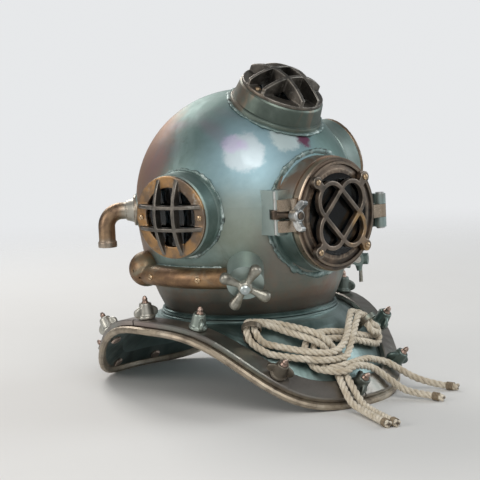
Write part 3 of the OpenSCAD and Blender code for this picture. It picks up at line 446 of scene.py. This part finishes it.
# The wing nuts in sight have each weathered in their own way: an angle of the rim's oval, a
# colour and its share
NUT_COLOURS = (
    (147, (0.56, 0.56, 0.51), 0.7), (175, (0.52, 0.51, 0.46), 0.6),
    (198, (0.33, 0.40, 0.36), 0.75), (227, (0.13, 0.11, 0.085), 0.9),
    (264, (0.10, 0.12, 0.11), 0.85), (303, (0.10, 0.15, 0.14), 0.85),
    (325, (0.11, 0.16, 0.145), 0.85), (349, (0.14, 0.18, 0.165), 0.8))


def nut_marks(f, skin):
    """Silver, green, brown or nearly black wing nuts."""
    middle, low, high = 22, 24, 30
    return spotted(f, skin, [(colour, share, on_rim(angle, STUD_INSET, middle)[0], low, high)
                             for angle, colour, share in NUT_COLOURS])


def seat_marks(f, skin):
    """The door's seat shows brown copper in cloudy patches, high up and clear of the bolt."""
    high = f.part("Z").clip(0.25, 0.31) * f.part("X").clip(-0.088, -0.06)
    return f.blend(skin, (0.27, 0.185, 0.135), f.noise(13, 6, 0.6, 0.8).clip(0.42, 0.56) * high)


TEAL, SEAT_TEAL = (0.125, 0.195, 0.18), (0.13, 0.19, 0.175)
COPPER, DULL_COPPER = (0.33, 0.185, 0.125), (0.30, 0.22, 0.17)
bonnet_tin = tinned_copper("bonnet_tinned_copper", TEAL, (0.30, 0.395, 0.38), COPPER, 0.36,
                           rub=bonnet_rub, extra=bonnet_marks, edged=False)
plate_tin = tinned_copper("plate_tinned_copper", (0.085, 0.135, 0.13), (0.31, 0.40, 0.39),
                          (0.30, 0.20, 0.155), 0.2)
rim_tin = tinned_copper("rim_tinned_copper", (0.085, 0.125, 0.12), (0.24, 0.29, 0.28),
                        (0.24, 0.18, 0.145), 0.32, extra=rim_marks)
fitting_tin = tinned_copper("fitting_tinned_copper", SEAT_TEAL, (0.30, 0.365, 0.345),
                            DULL_COPPER, 0.3)
# The exhaust valve body's tin is paler than the fittings': its own tone with a painted highlight.
highlit_boss_tin = tinned_copper("boss_tinned_copper", (0.22, 0.30, 0.28), (0.46, 0.53, 0.51),
                         (0.34, 0.27, 0.21), 0.26)
dark_tin = tinned_copper("dark_tinned_copper", (0.085, 0.11, 0.095), (0.20, 0.24, 0.21),
                         DULL_COPPER, 0.26, extra=patchy((0.20, 0.15, 0.11), 12, 0.5, 0.62, 0.7))
seat_tin = tinned_copper("seat_tinned_copper", SEAT_TEAL, (0.33, 0.39, 0.38), DULL_COPPER, 0.28,
                         extra=seat_marks)
brass = old_brass("aged_brass", (0.42, 0.255, 0.125), (0.15, 0.09, 0.05), (0.66, 0.47, 0.29), 0.34)
elbow_brass = old_brass("elbow_brass", (0.36, 0.245, 0.15), (0.15, 0.10, 0.07),
                        (0.64, 0.52, 0.40), 0.28, elbow_marks)
channel_brass = old_brass("channel_brass", (0.37, 0.235, 0.125), (0.17, 0.105, 0.065),
                          (0.58, 0.42, 0.27), 0.32,
                          patchy((0.27, 0.27, 0.21), 20, 0.52, 0.68, 0.6))
door_brass = old_brass("door_brass", (0.165, 0.12, 0.088), (0.055, 0.048, 0.042),
                       (0.62, 0.50, 0.38), 0.27)
guard_brass = old_brass("guard_brass", (0.22, 0.175, 0.14), (0.075, 0.065, 0.055),
                        (0.66, 0.58, 0.48), extra=patchy((0.44, 0.27, 0.12), 9, 0.5, 0.6, 0.8))
window_brass = old_brass("window_brass", (0.21, 0.19, 0.165), (0.075, 0.07, 0.063),
                         (0.66, 0.62, 0.55), 0.28, window_marks)
screw_brass = old_brass("screw_brass", (0.60, 0.42, 0.24), (0.25, 0.16, 0.09),
                        (0.82, 0.66, 0.46))
strap_bronze = old_brass("strap_bronze", (0.125, 0.125, 0.115), (0.055, 0.057, 0.055),
                         (0.42, 0.38, 0.34), 0.28, strap_marks)
cap_plating = old_brass("cap_plating", (0.52, 0.58, 0.58), (0.25, 0.29, 0.29),
                        (0.80, 0.84, 0.84), 0.24)
hammered = old_brass("hammered_plating", (0.60, 0.61, 0.60), (0.16, 0.17, 0.17),
                     (0.92, 0.92, 0.90), 0.22)
silver_brass = old_brass("worn_plating", (0.46, 0.45, 0.39), (0.17, 0.16, 0.135),
                         (0.78, 0.76, 0.70))
nut_brass = old_brass("wing_nut_plating", (0.42, 0.41, 0.36), (0.15, 0.14, 0.12),
                      (0.74, 0.72, 0.66), 0.28, nut_marks)
stud_copper = old_brass("stud_copper", (0.50, 0.36, 0.30), (0.20, 0.14, 0.11),
                        (0.80, 0.66, 0.58))
solder = solder_finish()
steel = steel_finish()
rope = rope_finish()
twine = twine_finish()
loose_fibre = loose_finish()
glass = window_glass()
leather = soft_finish("greased_leather", (0.16, 0.09, 0.05), (0.28, 0.17, 0.10), 0.5, 700, 0.2)
rubber = soft_finish("black_rubber", (0.02, 0.02, 0.02), (0.06, 0.06, 0.06), 0.6, 900, 0.08)


# Making and placing pieces

def around(count):
    """Even angles of a whole turn."""
    return [2 * math.pi * k / count for k in range(count)]


def add_tube(points, faces, rings, closed=False):
    """Adds a tube made of rings of points, its ends filled unless it closes on itself."""
    first, count, sides = len(points), len(rings), len(rings[0])
    for i in range(count if closed else count - 1):
        a, b = first + i * sides, first + (i + 1) % count * sides
        faces += [(a + k, a + (k + 1) % sides, b + (k + 1) % sides, b + k) for k in range(sides)]
    if not closed:
        last = first + (count - 1) * sides
        faces += [tuple(first + k for k in reversed(range(sides))),
                  tuple(last + k for k in range(sides))]
    points += [p for ring in rings for p in ring]


def add_turned(points, faces, origin, axes, profile, sides, closed=False):
    """Adds a turned shape, its profile given as radius and height along the third axis."""
    right, up, out = axes
    add_tube(points, faces,
             [[origin + r * (math.cos(a) * right + math.sin(a) * up) + z * out
               for a in around(sides)] for r, z in profile], closed)


def make(name, points, faces, body, finish, smooth=True):
    """A mesh piece with points in millimetres that rides a body."""
    mesh = bpy.data.meshes.new(name)
    mesh.from_pydata([tuple(p * MM) for p in points], [], faces)
    mesh.polygons.foreach_set("use_smooth", [smooth] * len(mesh.polygons))
    mesh.materials.append(finish.material)
    made = bpy.data.objects.new(name, mesh)
    bpy.context.scene.collection.objects.link(made)
    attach(made, body)
    return made


def put_on(node, finish):
    """Gives a CAD node its finish."""
    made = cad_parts[node]
    made.data.materials.clear()
    made.data.materials.append(finish.material)
    return made


def soften(made, grain, passes=2):
    """Rounds a cast piece's edges, with a mesh as fine as grain in millimetres."""
    remesh = made.modifiers.new("cast", "REMESH")
    remesh.mode = "VOXEL"
    remesh.voxel_size = grain * MM
    remesh.use_smooth_shade = True
    smooth = made.modifiers.new("worn", "SMOOTH")
    smooth.factor = 0.5
    smooth.iterations = passes


# Tied line: two strands side by side, each of three twisted strands

LINE_R, STRAND_R = 5.0, 2.55
LINE_LAY, YARN_LAY = 27.0, 5.0
LINE_STEP = 1.8
FIBRE_COUNT = 1500
OUTER_ROUTE = [
    (-91, -349, 5.2), (-59, -276, 8), (-55, -254, 15), (-42, -223, 41), (-33, -211, 46),
    (-29, -204, 58), (-32, -195, 70), (-45, -193, 84), (-56, -185, 92), (-75, -152, 104),
    (-86, -143, 110), (-109, -136, 118), (-116, -144, 105), (-105, -146, 91), (-94, -154, 86),
    (-66, -192, 77), (-36, -208, 74), (-8, -204, 84), (40, -173, 112), (55, -165, 111),
    (65, -175, 106), (69, -186, 94), (92, -173, 86), (99, -170, 78), (95, -175, 67),
    (83, -180, 63), (54, -190, 71), (8, -188, 83), (-27, -183, 87), (-42, -181, 83),
    (-49, -186, 73), (-47, -203, 54), (-43, -212, 54), (-32, -221, 56), (19, -216, 56),
    (49, -209, 49), (66, -214, 43), (100, -235, 18), (120, -257, 8), (130, -286, 5.2)]
INNER_ROUTE = [
    (-81, -355, 5.2), (-49, -281, 8), (-42, -260, 14), (-37, -237, 36), (-21, -212, 48),
    (-15, -204, 62), (-18, -197, 70), (-35, -193, 89), (-48, -182, 100), (-66, -147, 109),
    (-80, -134, 113), (-110, -124, 117), (-118, -129, 116), (-124, -135, 105), (-121, -138, 94),
    (-110, -146, 82), (-101, -157, 75), (-66, -199, 67), (-49, -209, 65), (-27, -213, 64),
    (-15, -214, 67), (48, -180, 109), (56, -180, 107), (60, -191, 88), (75, -189, 81),
    (88, -176, 76), (83, -171, 73), (53, -183, 80), (11, -181, 91), (-32, -176, 96),
    (-46, -174, 90), (-58, -177, 80), (-61, -194, 57), (-55, -216, 52), (-38, -231, 51),
    (-15, -230, 54), (24, -226, 43), (41, -242, 25), (51, -260, 12), (66, -312, 5.2)]


def rounded(route, step):
    """A smooth curve through the route's points, with points about a step apart."""
    points = [Vector(p) for p in route]
    points = [2 * points[0] - points[1]] + points + [2 * points[-1] - points[-2]]
    fine, per = [], 24
    for i in range(1, len(points) - 2):
        a, b, c, d = points[i - 1:i + 3]
        far = (c - b).length
        into = (c - a) / max((c - a).length, 1e-6) * far
        away = (d - b) / max((d - b).length, 1e-6) * far
        for k in range(per):
            t = k / per
            fine.append((2 * t**3 - 3 * t**2 + 1) * b + (t**3 - 2 * t**2 + t) * into
                        + (3 * t**2 - 2 * t**3) * c + (t**3 - t**2) * away)
    fine.append(points[-2])
    total = sum((q - p).length for p, q in zip(fine, fine[1:]))
    count = round(total / step)
    spaced, gone, k = [fine[0]], 0.0, 0
    for i in range(1, count):
        want = total * i / count
        while gone + (fine[k + 1] - fine[k]).length < want:
            gone += (fine[k + 1] - fine[k]).length
            k += 1
        spaced.append(fine[k].lerp(fine[k + 1], (want - gone) / (fine[k + 1] - fine[k]).length))
    return spaced + [fine[-1]]


def heading(points, i):
    """The direction of a curve at one of its points."""
    return (points[min(i + 1, len(points) - 1)] - points[max(i - 1, 0)]).normalized()


def carried(points):
    """For each point of a curve its direction and two sides that don't twist about it."""
    frames = []
    side = None
    for i in range(len(points)):
        ahead = heading(points, i)
        side = ahead.orthogonal() if side is None else side - side.dot(ahead) * ahead
        side.normalize()
        frames.append((ahead, side.copy(), ahead.cross(side)))
    return frames


def laid_rope(name, route, node):
    """A three-strand rope, with its middle line, the frames there and its length in metres."""
    sides, yarns = 12, 9
    middle = rounded(route, LINE_STEP)
    length = sum((q - p).length for p, q in zip(middle, middle[1:]))
    frames = carried(middle)
    points, faces, yarn, crown = [], [], [], []
    for strand in range(3):
        centres = []
        for i, (p, (_, side, across)) in enumerate(zip(middle, frames)):
            turn = 2 * math.pi * (i * LINE_STEP / LINE_LAY + strand / 3)
            out = math.cos(turn) * side + math.sin(turn) * across
            centres.append(p + (LINE_R - STRAND_R) * out)
        rings = []
        for i, c in enumerate(centres):
            ahead = heading(centres, i)
            out = c - middle[i]
            out = (out - out.dot(ahead) * ahead).normalized()
            along = ahead.cross(out)
            swell = 1 + 0.05 * noise.noise(c * 0.12)
            ring = [c - STRAND_R * swell * (math.cos(a) * out + math.sin(a) * along)
                    for a in around(sides)]
            yarn += [yarns * k / sides + i * LINE_STEP / YARN_LAY for k in range(sides)]
            crown += [min(1.0, (q - middle[i]).length / LINE_R) for q in ring]
            rings.append(ring)
        add_tube(points, faces, rings)
    made = make(name, points, faces, "breastplate", rope)
    for key, values in (("yarn", yarn), ("crown", crown)):
        made.data.attributes.new(key, "FLOAT", "POINT").data.foreach_set("value", values)
    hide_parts(node)
    return made, middle, frames, length * MM


def above_floor(p):
    """Keeps twine and fibres off the floor that the rope lies on."""
    return Vector((p.x, p.y, max(p.z, 0.15)))


def whipping(name, middle, frames, starts):
    """Twine bound round a rope, from each start on."""
    points, faces = [], []
    wire, gap, pitch, turns, per = 0.55, 0.25, 1.1, 9, 20
    for start in starts:
        rings = []
        for i in range(turns * per + 1):
            at = start + (i / per) * pitch / LINE_STEP
            k = min(int(at), len(middle) - 2)
            p = middle[k].lerp(middle[k + 1], at - k)
            ahead, side, across = frames[k]
            turn = 2 * math.pi * i / per
            out = math.cos(turn) * side + math.sin(turn) * across
            rings.append([above_floor(p + (LINE_R + gap + wire * math.cos(a)) * out
                                      + wire * math.sin(a) * ahead) for a in around(6)])
        add_tube(points, faces, rings)
    return make(name, points, faces, "breastplate", twine)


def loose_fibres(name, middle, frames, count):
    """Short fibres that stand out of the rope, curved and tapering."""
    points, faces = [], []
    root, thick, bound_end = LINE_R * 0.86, 0.085, 8
    for _ in range(count):
        k = chance.randrange(bound_end, len(middle) - bound_end)
        ahead, side, across = frames[k]
        a = chance.uniform(0, 2 * math.pi)
        out = math.cos(a) * side + math.sin(a) * across
        flank = ahead.cross(out)
        lean = ahead * chance.uniform(-1, 1) + flank * chance.uniform(-0.8, 0.8)
        reach = chance.uniform(1.2, 3.4)
        rings = []
        for t in (0, 1 / 3, 2 / 3, 1):
            p = middle[k] + (root + reach * t * (1 - 0.45 * t)) * out + reach * t * t * lean
            r = thick * (1 - 0.75 * t)
            rings.append([above_floor(p + r * (math.cos(b) * ahead + math.sin(b) * flank))
                          for b in around(3)])
        add_tube(points, faces, rings)
    return make(name, points, faces, "breastplate", loose_fibre)


for line, route in (("outer", OUTER_ROUTE), ("inner", INNER_ROUTE)):
    laid, middle, frames, length = laid_rope("tied_line_" + line, route, "line_" + line)
    bound = whipping("line_end_twine_" + line, middle, frames, (2, len(middle) - 10))
    fibres = loose_fibres("line_fibres_" + line, middle, frames, FIBRE_COUNT)
    middle[0] * MM
    [p * MM for p in middle[::2]] + [middle[-1] * MM]


# Solder seams where the fittings meet the bonnet

def off_form(p):
    """Below 0 inside the bonnet's form and above 0 outside it."""
    q = p - BONNET
    tall = BONNET_R if q.z > 0 else BONNET_DROP
    return (q.x**2 + q.y**2) / BONNET_R**2 + (q.z / tall)**2 - 1


def form_normal(p):
    """The direction straight out of the bonnet's form."""
    q = p - BONNET
    tall = BONNET_R if q.z > 0 else BONNET_DROP
    return Vector((q.x / BONNET_R**2, q.y / BONNET_R**2, q.z / tall**2)).normalized()


def seam(name, fitting, radius, thick):
    """An uneven bead of solder around a round fitting."""
    rings_per_mm, farthest, halvings = 3.2, 200.0, 40
    origin, (right, up, out) = aimed(*fitting)
    rings = []
    for a in around(int(radius * rings_per_mm)):
        spread = math.cos(a) * right + math.sin(a) * up
        low, high = 0.0, farthest
        for _ in range(halvings):
            half = (low + high) / 2
            if off_form(origin + radius * spread + half * out) < 0:
                low = half
            else:
                high = half
        p = origin + radius * spread + low * out
        normal = form_normal(p)
        rough = noise.noise(p * 0.06) + 0.7 * noise.noise(p * 0.21)
        size = thick * (0.95 + 0.6 * rough)
        centre = p + 0.3 * thick * noise.noise(p * 0.13 + Vector((9, 0, 0))) * spread
        ring = []
        for k, b in enumerate(around(8)):
            swell = 1 + 0.2 * noise.noise(centre * 0.5 + Vector((k * 3.1, 0, 0)))
            ring.append(centre + size * swell * (1.3 * math.cos(b) * spread
                                                 + 0.62 * math.sin(b) * normal))
        rings.append(ring)
    points, faces = [], []
    add_tube(points, faces, rings, closed=True)
    make(name, points, faces, "bonnet", solder)


def channel_seam(name, side):
    """Solder along the exhaust channel, above it (side 1) or below it (-1)."""
    count, half_height, thick = 150, 13.6, 2.0
    low, high = CHANNEL_ENDS
    rings = []
    for i in range(count):
        wander = 0.5 * noise.noise(Vector((i * 0.2, side, 0)))
        origin, (_, _, out) = aimed(low + (high - low) * i / (count - 1), 0,
                                    CHANNEL_Z + side * (half_height + wander))
        sunk = (origin.z - BONNET.z) / BONNET_DROP
        p = origin + BONNET_R * math.sqrt(1 - sunk**2) * out
        normal = form_normal(p)
        rough = noise.noise(p * 0.11) + 0.6 * noise.noise(p * 0.35)
        ends = min(1.0, 0.35 + 0.2 * i, 0.35 + 0.2 * (count - 1 - i))
        size = thick * (1 + 0.42 * rough) * ends
        rings.append([p + 0.4 * normal + size * (1.2 * math.cos(b) * side * UP
                                                 + 0.85 * math.sin(b) * normal)
                      for b in around(8)])
    points, faces = [], []
    add_tube(points, faces, rings)
    make(name, points, faces, "bonnet", solder)


seam("top_window_seam", TOP_WINDOW, 66, 3.7)
seam("right_window_seam", RIGHT_WINDOW, 58.5, 2.6)
seam("left_window_seam", LEFT_WINDOW, 58.5, 2.6)
seam("door_seat_seam", DOOR, 84, 3.4)
seam("air_elbow_seam", AIR_ELBOW, 22, 1.8)
seam("telephone_elbow_seam", TELEPHONE_ELBOW, 22, 1.8)
seam("spitcock_seam", SPITCOCK, 13, 1.6)
channel_seam("channel_upper_seam", 1)
channel_seam("channel_lower_seam", -1)


# Cross handle of the exhaust valve

def cross_handle():
    """A stem with a collar, a hub, and four arms that swell towards their tips."""
    stem = [(6, 16), (6, 22.3), (10, 22.3), (10, 24.3), (6, 24.3), (6, 40), (8, 41), (9.5, 42.5),
            (9.8, 47), (9.5, 51), (8, 52.7), (7, 53)]
    arm = [(4.4, 2), (4.5, 10), (4.9, 14), (5.8, 19), (7.1, 24), (8.0, 28.5), (7.9, 31.5),
           (6.7, 34.4), (4.4, 36.2), (0.8, 37)]
    hub_height = 47
    azimuth, _, height = EXHAUST
    base, (_, _, level) = aimed(*EXHAUST)
    sunk = (BONNET.z - height) / BONNET_DROP
    origin = base + BONNET_R * math.sqrt(1 - sunk**2) * level
    right, up, out = aimed(azimuth, EXHAUST_DIP, height)[1]
    points, faces = [], []
    add_turned(points, faces, origin, (right, up, out), stem, 32)
    hub = origin + hub_height * out
    for angle in (60, 150, 240, 330):
        a = math.radians(angle)
        away = math.cos(a) * right + math.sin(a) * up
        add_turned(points, faces, hub, (out, out.cross(away), away), arm, 24)
    made = make("exhaust_cross_handle", points, faces, "exhaust_handle", silver_brass)
    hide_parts("exhaust_handle")
    soften(made, 0.7, 3)


# Wing nuts of the clamping straps

def add_wing(points, faces, origin, axes):
    """Adds a thick wing that leaves the bell low down and droops a little to its round tip."""
    ahead, across, out = axes
    reach_low_high_thick = (
        (6.5, 1.5, 18.2, 3.5), (9, 1.3, 17.8, 3.4), (11.5, 1.4, 16.9, 3.2),
        (14, 1.9, 15.8, 3.1), (16, 2.9, 14.5, 2.9), (17.6, 4.2, 13.0, 2.6),
        (18.7, 5.8, 11.4, 2.1), (19.1, 7.6, 9.8, 0.8))
    rings = []
    for reach, low, high, thick in reach_low_high_thick:
        bow = 0.9 * math.sin(reach / 6)
        ring = []
        for a in around(16):
            c, d = math.cos(a), math.sin(a)
            c, d = math.copysign(abs(c)**0.6, c), math.copysign(abs(d)**0.6, d)
            ring.append(origin + reach * ahead + (thick * c + bow) * across
                        + ((low + high) / 2 + (high - low) / 2 * d) * out)
        rings.append(ring)
    add_tube(points, faces, rings)


def wing_nuts():
    """Twelve bells with a stepped foot, a bore for the stud and two wings each."""
    bell = [(5.25, 0), (12.0, 0), (12.7, 0.8), (12.8, 3.4), (12.0, 4.4), (10.9, 4.9), (10.4, 7),
            (9.6, 13), (8.9, 17.6), (8.5, 20.4), (7.7, 21.8), (6.6, 22), (5.25, 22)]
    turned_by = 53
    points, faces = [], []
    for i, angle in enumerate(STUD_ANGLES):
        origin, (ahead, across, out) = on_rim(angle, STUD_INSET, NUT_SEAT)
        add_turned(points, faces, origin, (ahead, across, out), bell, 40, closed=True)
        turn = math.radians(turned_by * i)
        side = math.cos(turn) * ahead + math.sin(turn) * across
        for way in (side, -side):
            add_wing(points, faces, origin, (way, out.cross(way), out))
    made = make("strap_wing_nuts", points, faces, "breastplate", nut_brass)
    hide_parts("breastplate_wing_nuts")
    soften(made, 0.6)


# Screws with a slot across their heads

HEAD_R = 4.0
HEAD_EDGE, HEAD_CROWN = 0.9, 1.9
SLOT_HALF, SLOT_FLOOR = 0.61, 1.25
SHANK_SHARE = 0.61
DOOR_SCREWS_R, DOOR_SCREWS_Z = 66, 189


def add_slotted_screw(points, faces, origin, axes, spin, length):
    """Adds a pan head with a slot, as a grid of points, and the shank below it."""
    right, up, out = axes
    c, d = math.cos(spin), math.sin(spin)
    across = (-3.96, -3.4, -2.6, -1.6, -0.62, -0.60, 0.0, 0.60, 0.62, 1.6, 2.6, 3.4, 3.96)
    along = (-1, -0.85, -0.6, -0.3, 0, 0.3, 0.6, 0.85, 1)
    columns, rows, first = len(across), len(along), len(points)
    for x in across:
        for share in along:
            y = share * math.sqrt(HEAD_R**2 - x * x)
            r = math.hypot(x, y) / HEAD_R
            z = HEAD_EDGE + HEAD_CROWN * math.sqrt(max(0.0, 1 - r**2.2))
            if abs(x) < SLOT_HALF:
                z = min(z, SLOT_FLOOR)
            points.append(origin + (c * x - d * y) * right + (d * x + c * y) * up + z * out)
    for i in range(columns - 1):
        for j in range(rows - 1):
            a = first + i * rows + j
            faces.append((a, a + rows, a + rows + 1, a + 1))
    rim = ([first + i * rows for i in range(columns)]
           + [first + (columns - 1) * rows + j for j in range(1, rows)]
           + [first + i * rows + rows - 1 for i in range(columns - 2, -1, -1)]
           + [first + j for j in range(rows - 2, 0, -1)])
    foot, count = len(points), len(rim)
    for scale, sink in ((1, 0), (SHANK_SHARE, 0), (SHANK_SHARE, -length)):
        for v in rim:
            p = points[v] - origin
            points.append(origin + scale * (p - p.dot(out) * out) + sink * out)
    for i in range(count):
        j = (i + 1) % count
        faces.append((rim[j], rim[i], foot + i, foot + j))
        for a in (foot, foot + count):
            faces.append((a + j, a + i, a + count + i, a + count + j))
    faces.append(tuple(foot + 2 * count + i for i in reversed(range(count))))


def slotted_screws(name, body, node, length, seats):
    """Screws of one kind, each turned by chance: a fitting and a place on its face."""
    points, faces = [], []
    for fitting, x, y, z in seats:
        origin, (right, up, out) = aimed(*fitting)
        add_slotted_screw(points, faces, origin + x * right + y * up + z * out,
                          (right, up, out), chance.uniform(0, math.pi), length)
    made = make(name, points, faces, body, screw_brass, smooth=False)
    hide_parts(node)


slotted_screws("window_slotted_screws", "bonnet", "window_screws", 5,
               [(window, side * reach, 0, face) for window, reach, face in
                ((RIGHT_WINDOW, 48, 181), (LEFT_WINDOW, 48, 181), (TOP_WINDOW, 49, 177))
                for side in (-1, 1)])
slotted_screws("door_guard_slotted_screws", "door", "door_guard_screws", 17,
               [(DOOR, DOOR_SCREWS_R * math.cos(math.radians(a)),
                 DOOR_SCREWS_R * math.sin(math.radians(a)), DOOR_SCREWS_Z)
                for a in (45, 135, 225, 315)])
slotted_screws("channel_slotted_screws", "bonnet", "exhaust_channel_screws", 4,
               [((azimuth, 0, CHANNEL_Z), 0, 0, 168) for azimuth in (68, 97)])
wing_nuts()
cross_handle()


# CAD nodes that keep their own shape, and cast ones with their edges rounded by a grain

for finish, nodes in (
        (plate_tin, "breastplate_shell breastplate_neck_ring bonnet_neck_ring"),
        (rim_tin, "breastplate_rim"),
        (bonnet_tin, "bonnet_shell"),
        (highlit_boss_tin, "exhaust_valve_body"),
        (fitting_tin, "right_window_frame left_window_frame spitcock_body"),
        (fitting_tin, "air_duct_front air_duct_right air_duct_left"),
        (dark_tin, "top_window_frame"),
        (seat_tin, "door_seat"),
        (strap_bronze, "brail_front brail_rear brail_right brail_left latch_bracket latch_catch"),
        (door_brass, "door_frame"),
        (brass, "safety_latch air_valve_seat"),
        (stud_copper, "breastplate_studs"),
        (cap_plating, "exhaust_handle_cap"),
        (silver_brass, "spitcock_lever"),
        (steel, "latch_pin door_hinge_pin swing_bolt_pin exhaust_valve_spring exhaust_valve_stem"),
        (leather, "neck_gasket air_valve_flap"),
        (rubber, "right_window_gasket left_window_gasket top_window_gasket"),
        (rubber, "door_gasket door_seat_gasket"),
        (glass, "right_window_glass left_window_glass top_window_glass door_glass")):
    for node in nodes.split():
        put_on(node, finish)
for finish, grain, nodes in (
        (dark_tin, 0.7, "padeyes"),
        (window_brass, 0.9, "right_window_guard left_window_guard top_window_guard"),
        (guard_brass, 0.8, "door_guard"),
        (door_brass, 0.6, "swing_bolt"),
        (elbow_brass, 1.0, "air_elbow telephone_elbow"),
        (channel_brass, 1.0, "exhaust_channel"),
        (hammered, 0.5, "door_wing_nut")):
    for node in nodes.split():
        soften(put_on(node, finish), grain)


# Floor and light

def pale_floor():
    """A floor that fades into the backdrop."""
    reach = 9
    mesh = bpy.data.meshes.new("studio_floor")
    mesh.from_pydata([(-reach, -reach, 0), (reach, -reach, 0), (reach, reach, 0),
                      (-reach, reach, 0)], [], [(0, 1, 2, 3)])
    pale = Finish("studio_floor", Roughness=0.8)
    away = pale.node("VectorMath", {"operation": "LENGTH"}, {0: pale.at}, "Value")
    pale.set(Base_Color=pale.blend((0.70, 0.70, 0.69), (0.74, 0.74, 0.73), pale.noise(3, 4)),
             Alpha=1 - away.clip(0.7, 2.6))
    mesh.materials.append(pale.material)
    ground = bpy.data.objects.new("studio_floor", mesh)
    bpy.context.scene.collection.objects.link(ground)


def backdrop():
    """A grey world that the camera sees brighter than it shines on the helmet."""
    shining, seen_brighter = 0.42, 0.79
    world = bpy.data.worlds.new("studio_world")
    bpy.context.scene.world = world
    world.use_nodes = True
    tree = world.node_tree
    grey = tree.nodes["Background"]
    grey.inputs["Color"].default_value = (0.66, 0.67, 0.68, 1)
    ray = tree.nodes.new("ShaderNodeLightPath")
    level = tree.nodes.new("ShaderNodeMath")
    level.operation = "MULTIPLY_ADD"
    level.inputs[1].default_value = seen_brighter
    level.inputs[2].default_value = shining
    tree.links.new(ray.outputs["Is Camera Ray"], level.inputs[0])
    tree.links.new(level.outputs[0], grey.inputs["Strength"])


def softbox(name, place, size, power, tint):
    """A square lamp that looks at the helmet."""
    data = bpy.data.lights.new(name, "AREA")
    data.shape = "SQUARE"
    data.size, data.energy, data.color = size, power, tint
    lamp = bpy.data.objects.new(name, data)
    look = (Vector((0, 0, 0.2)) - Vector(place)).to_track_quat("-Z", "Y")
    lamp.matrix_world = Matrix.Translation(place) @ look.to_matrix().to_4x4()
    bpy.context.scene.collection.objects.link(lamp)


pale_floor()
backdrop()
softbox("key_softbox", (-1.3, -2.0, 1.9), 1.9, 42, (1.0, 0.98, 0.95))
softbox("fill_softbox", (1.9, -1.3, 1.0), 1.4, 18, (0.90, 0.96, 1.0))
softbox("back_softbox", (0.6, 2.0, 1.8), 1.2, 34, (1.0, 0.97, 0.94))
softbox("side_softbox", (-2.2, 0.6, 0.9), 1.0, 16, (1.0, 0.95, 0.90))
bpy.context.scene.view_settings.view_transform = "Standard"
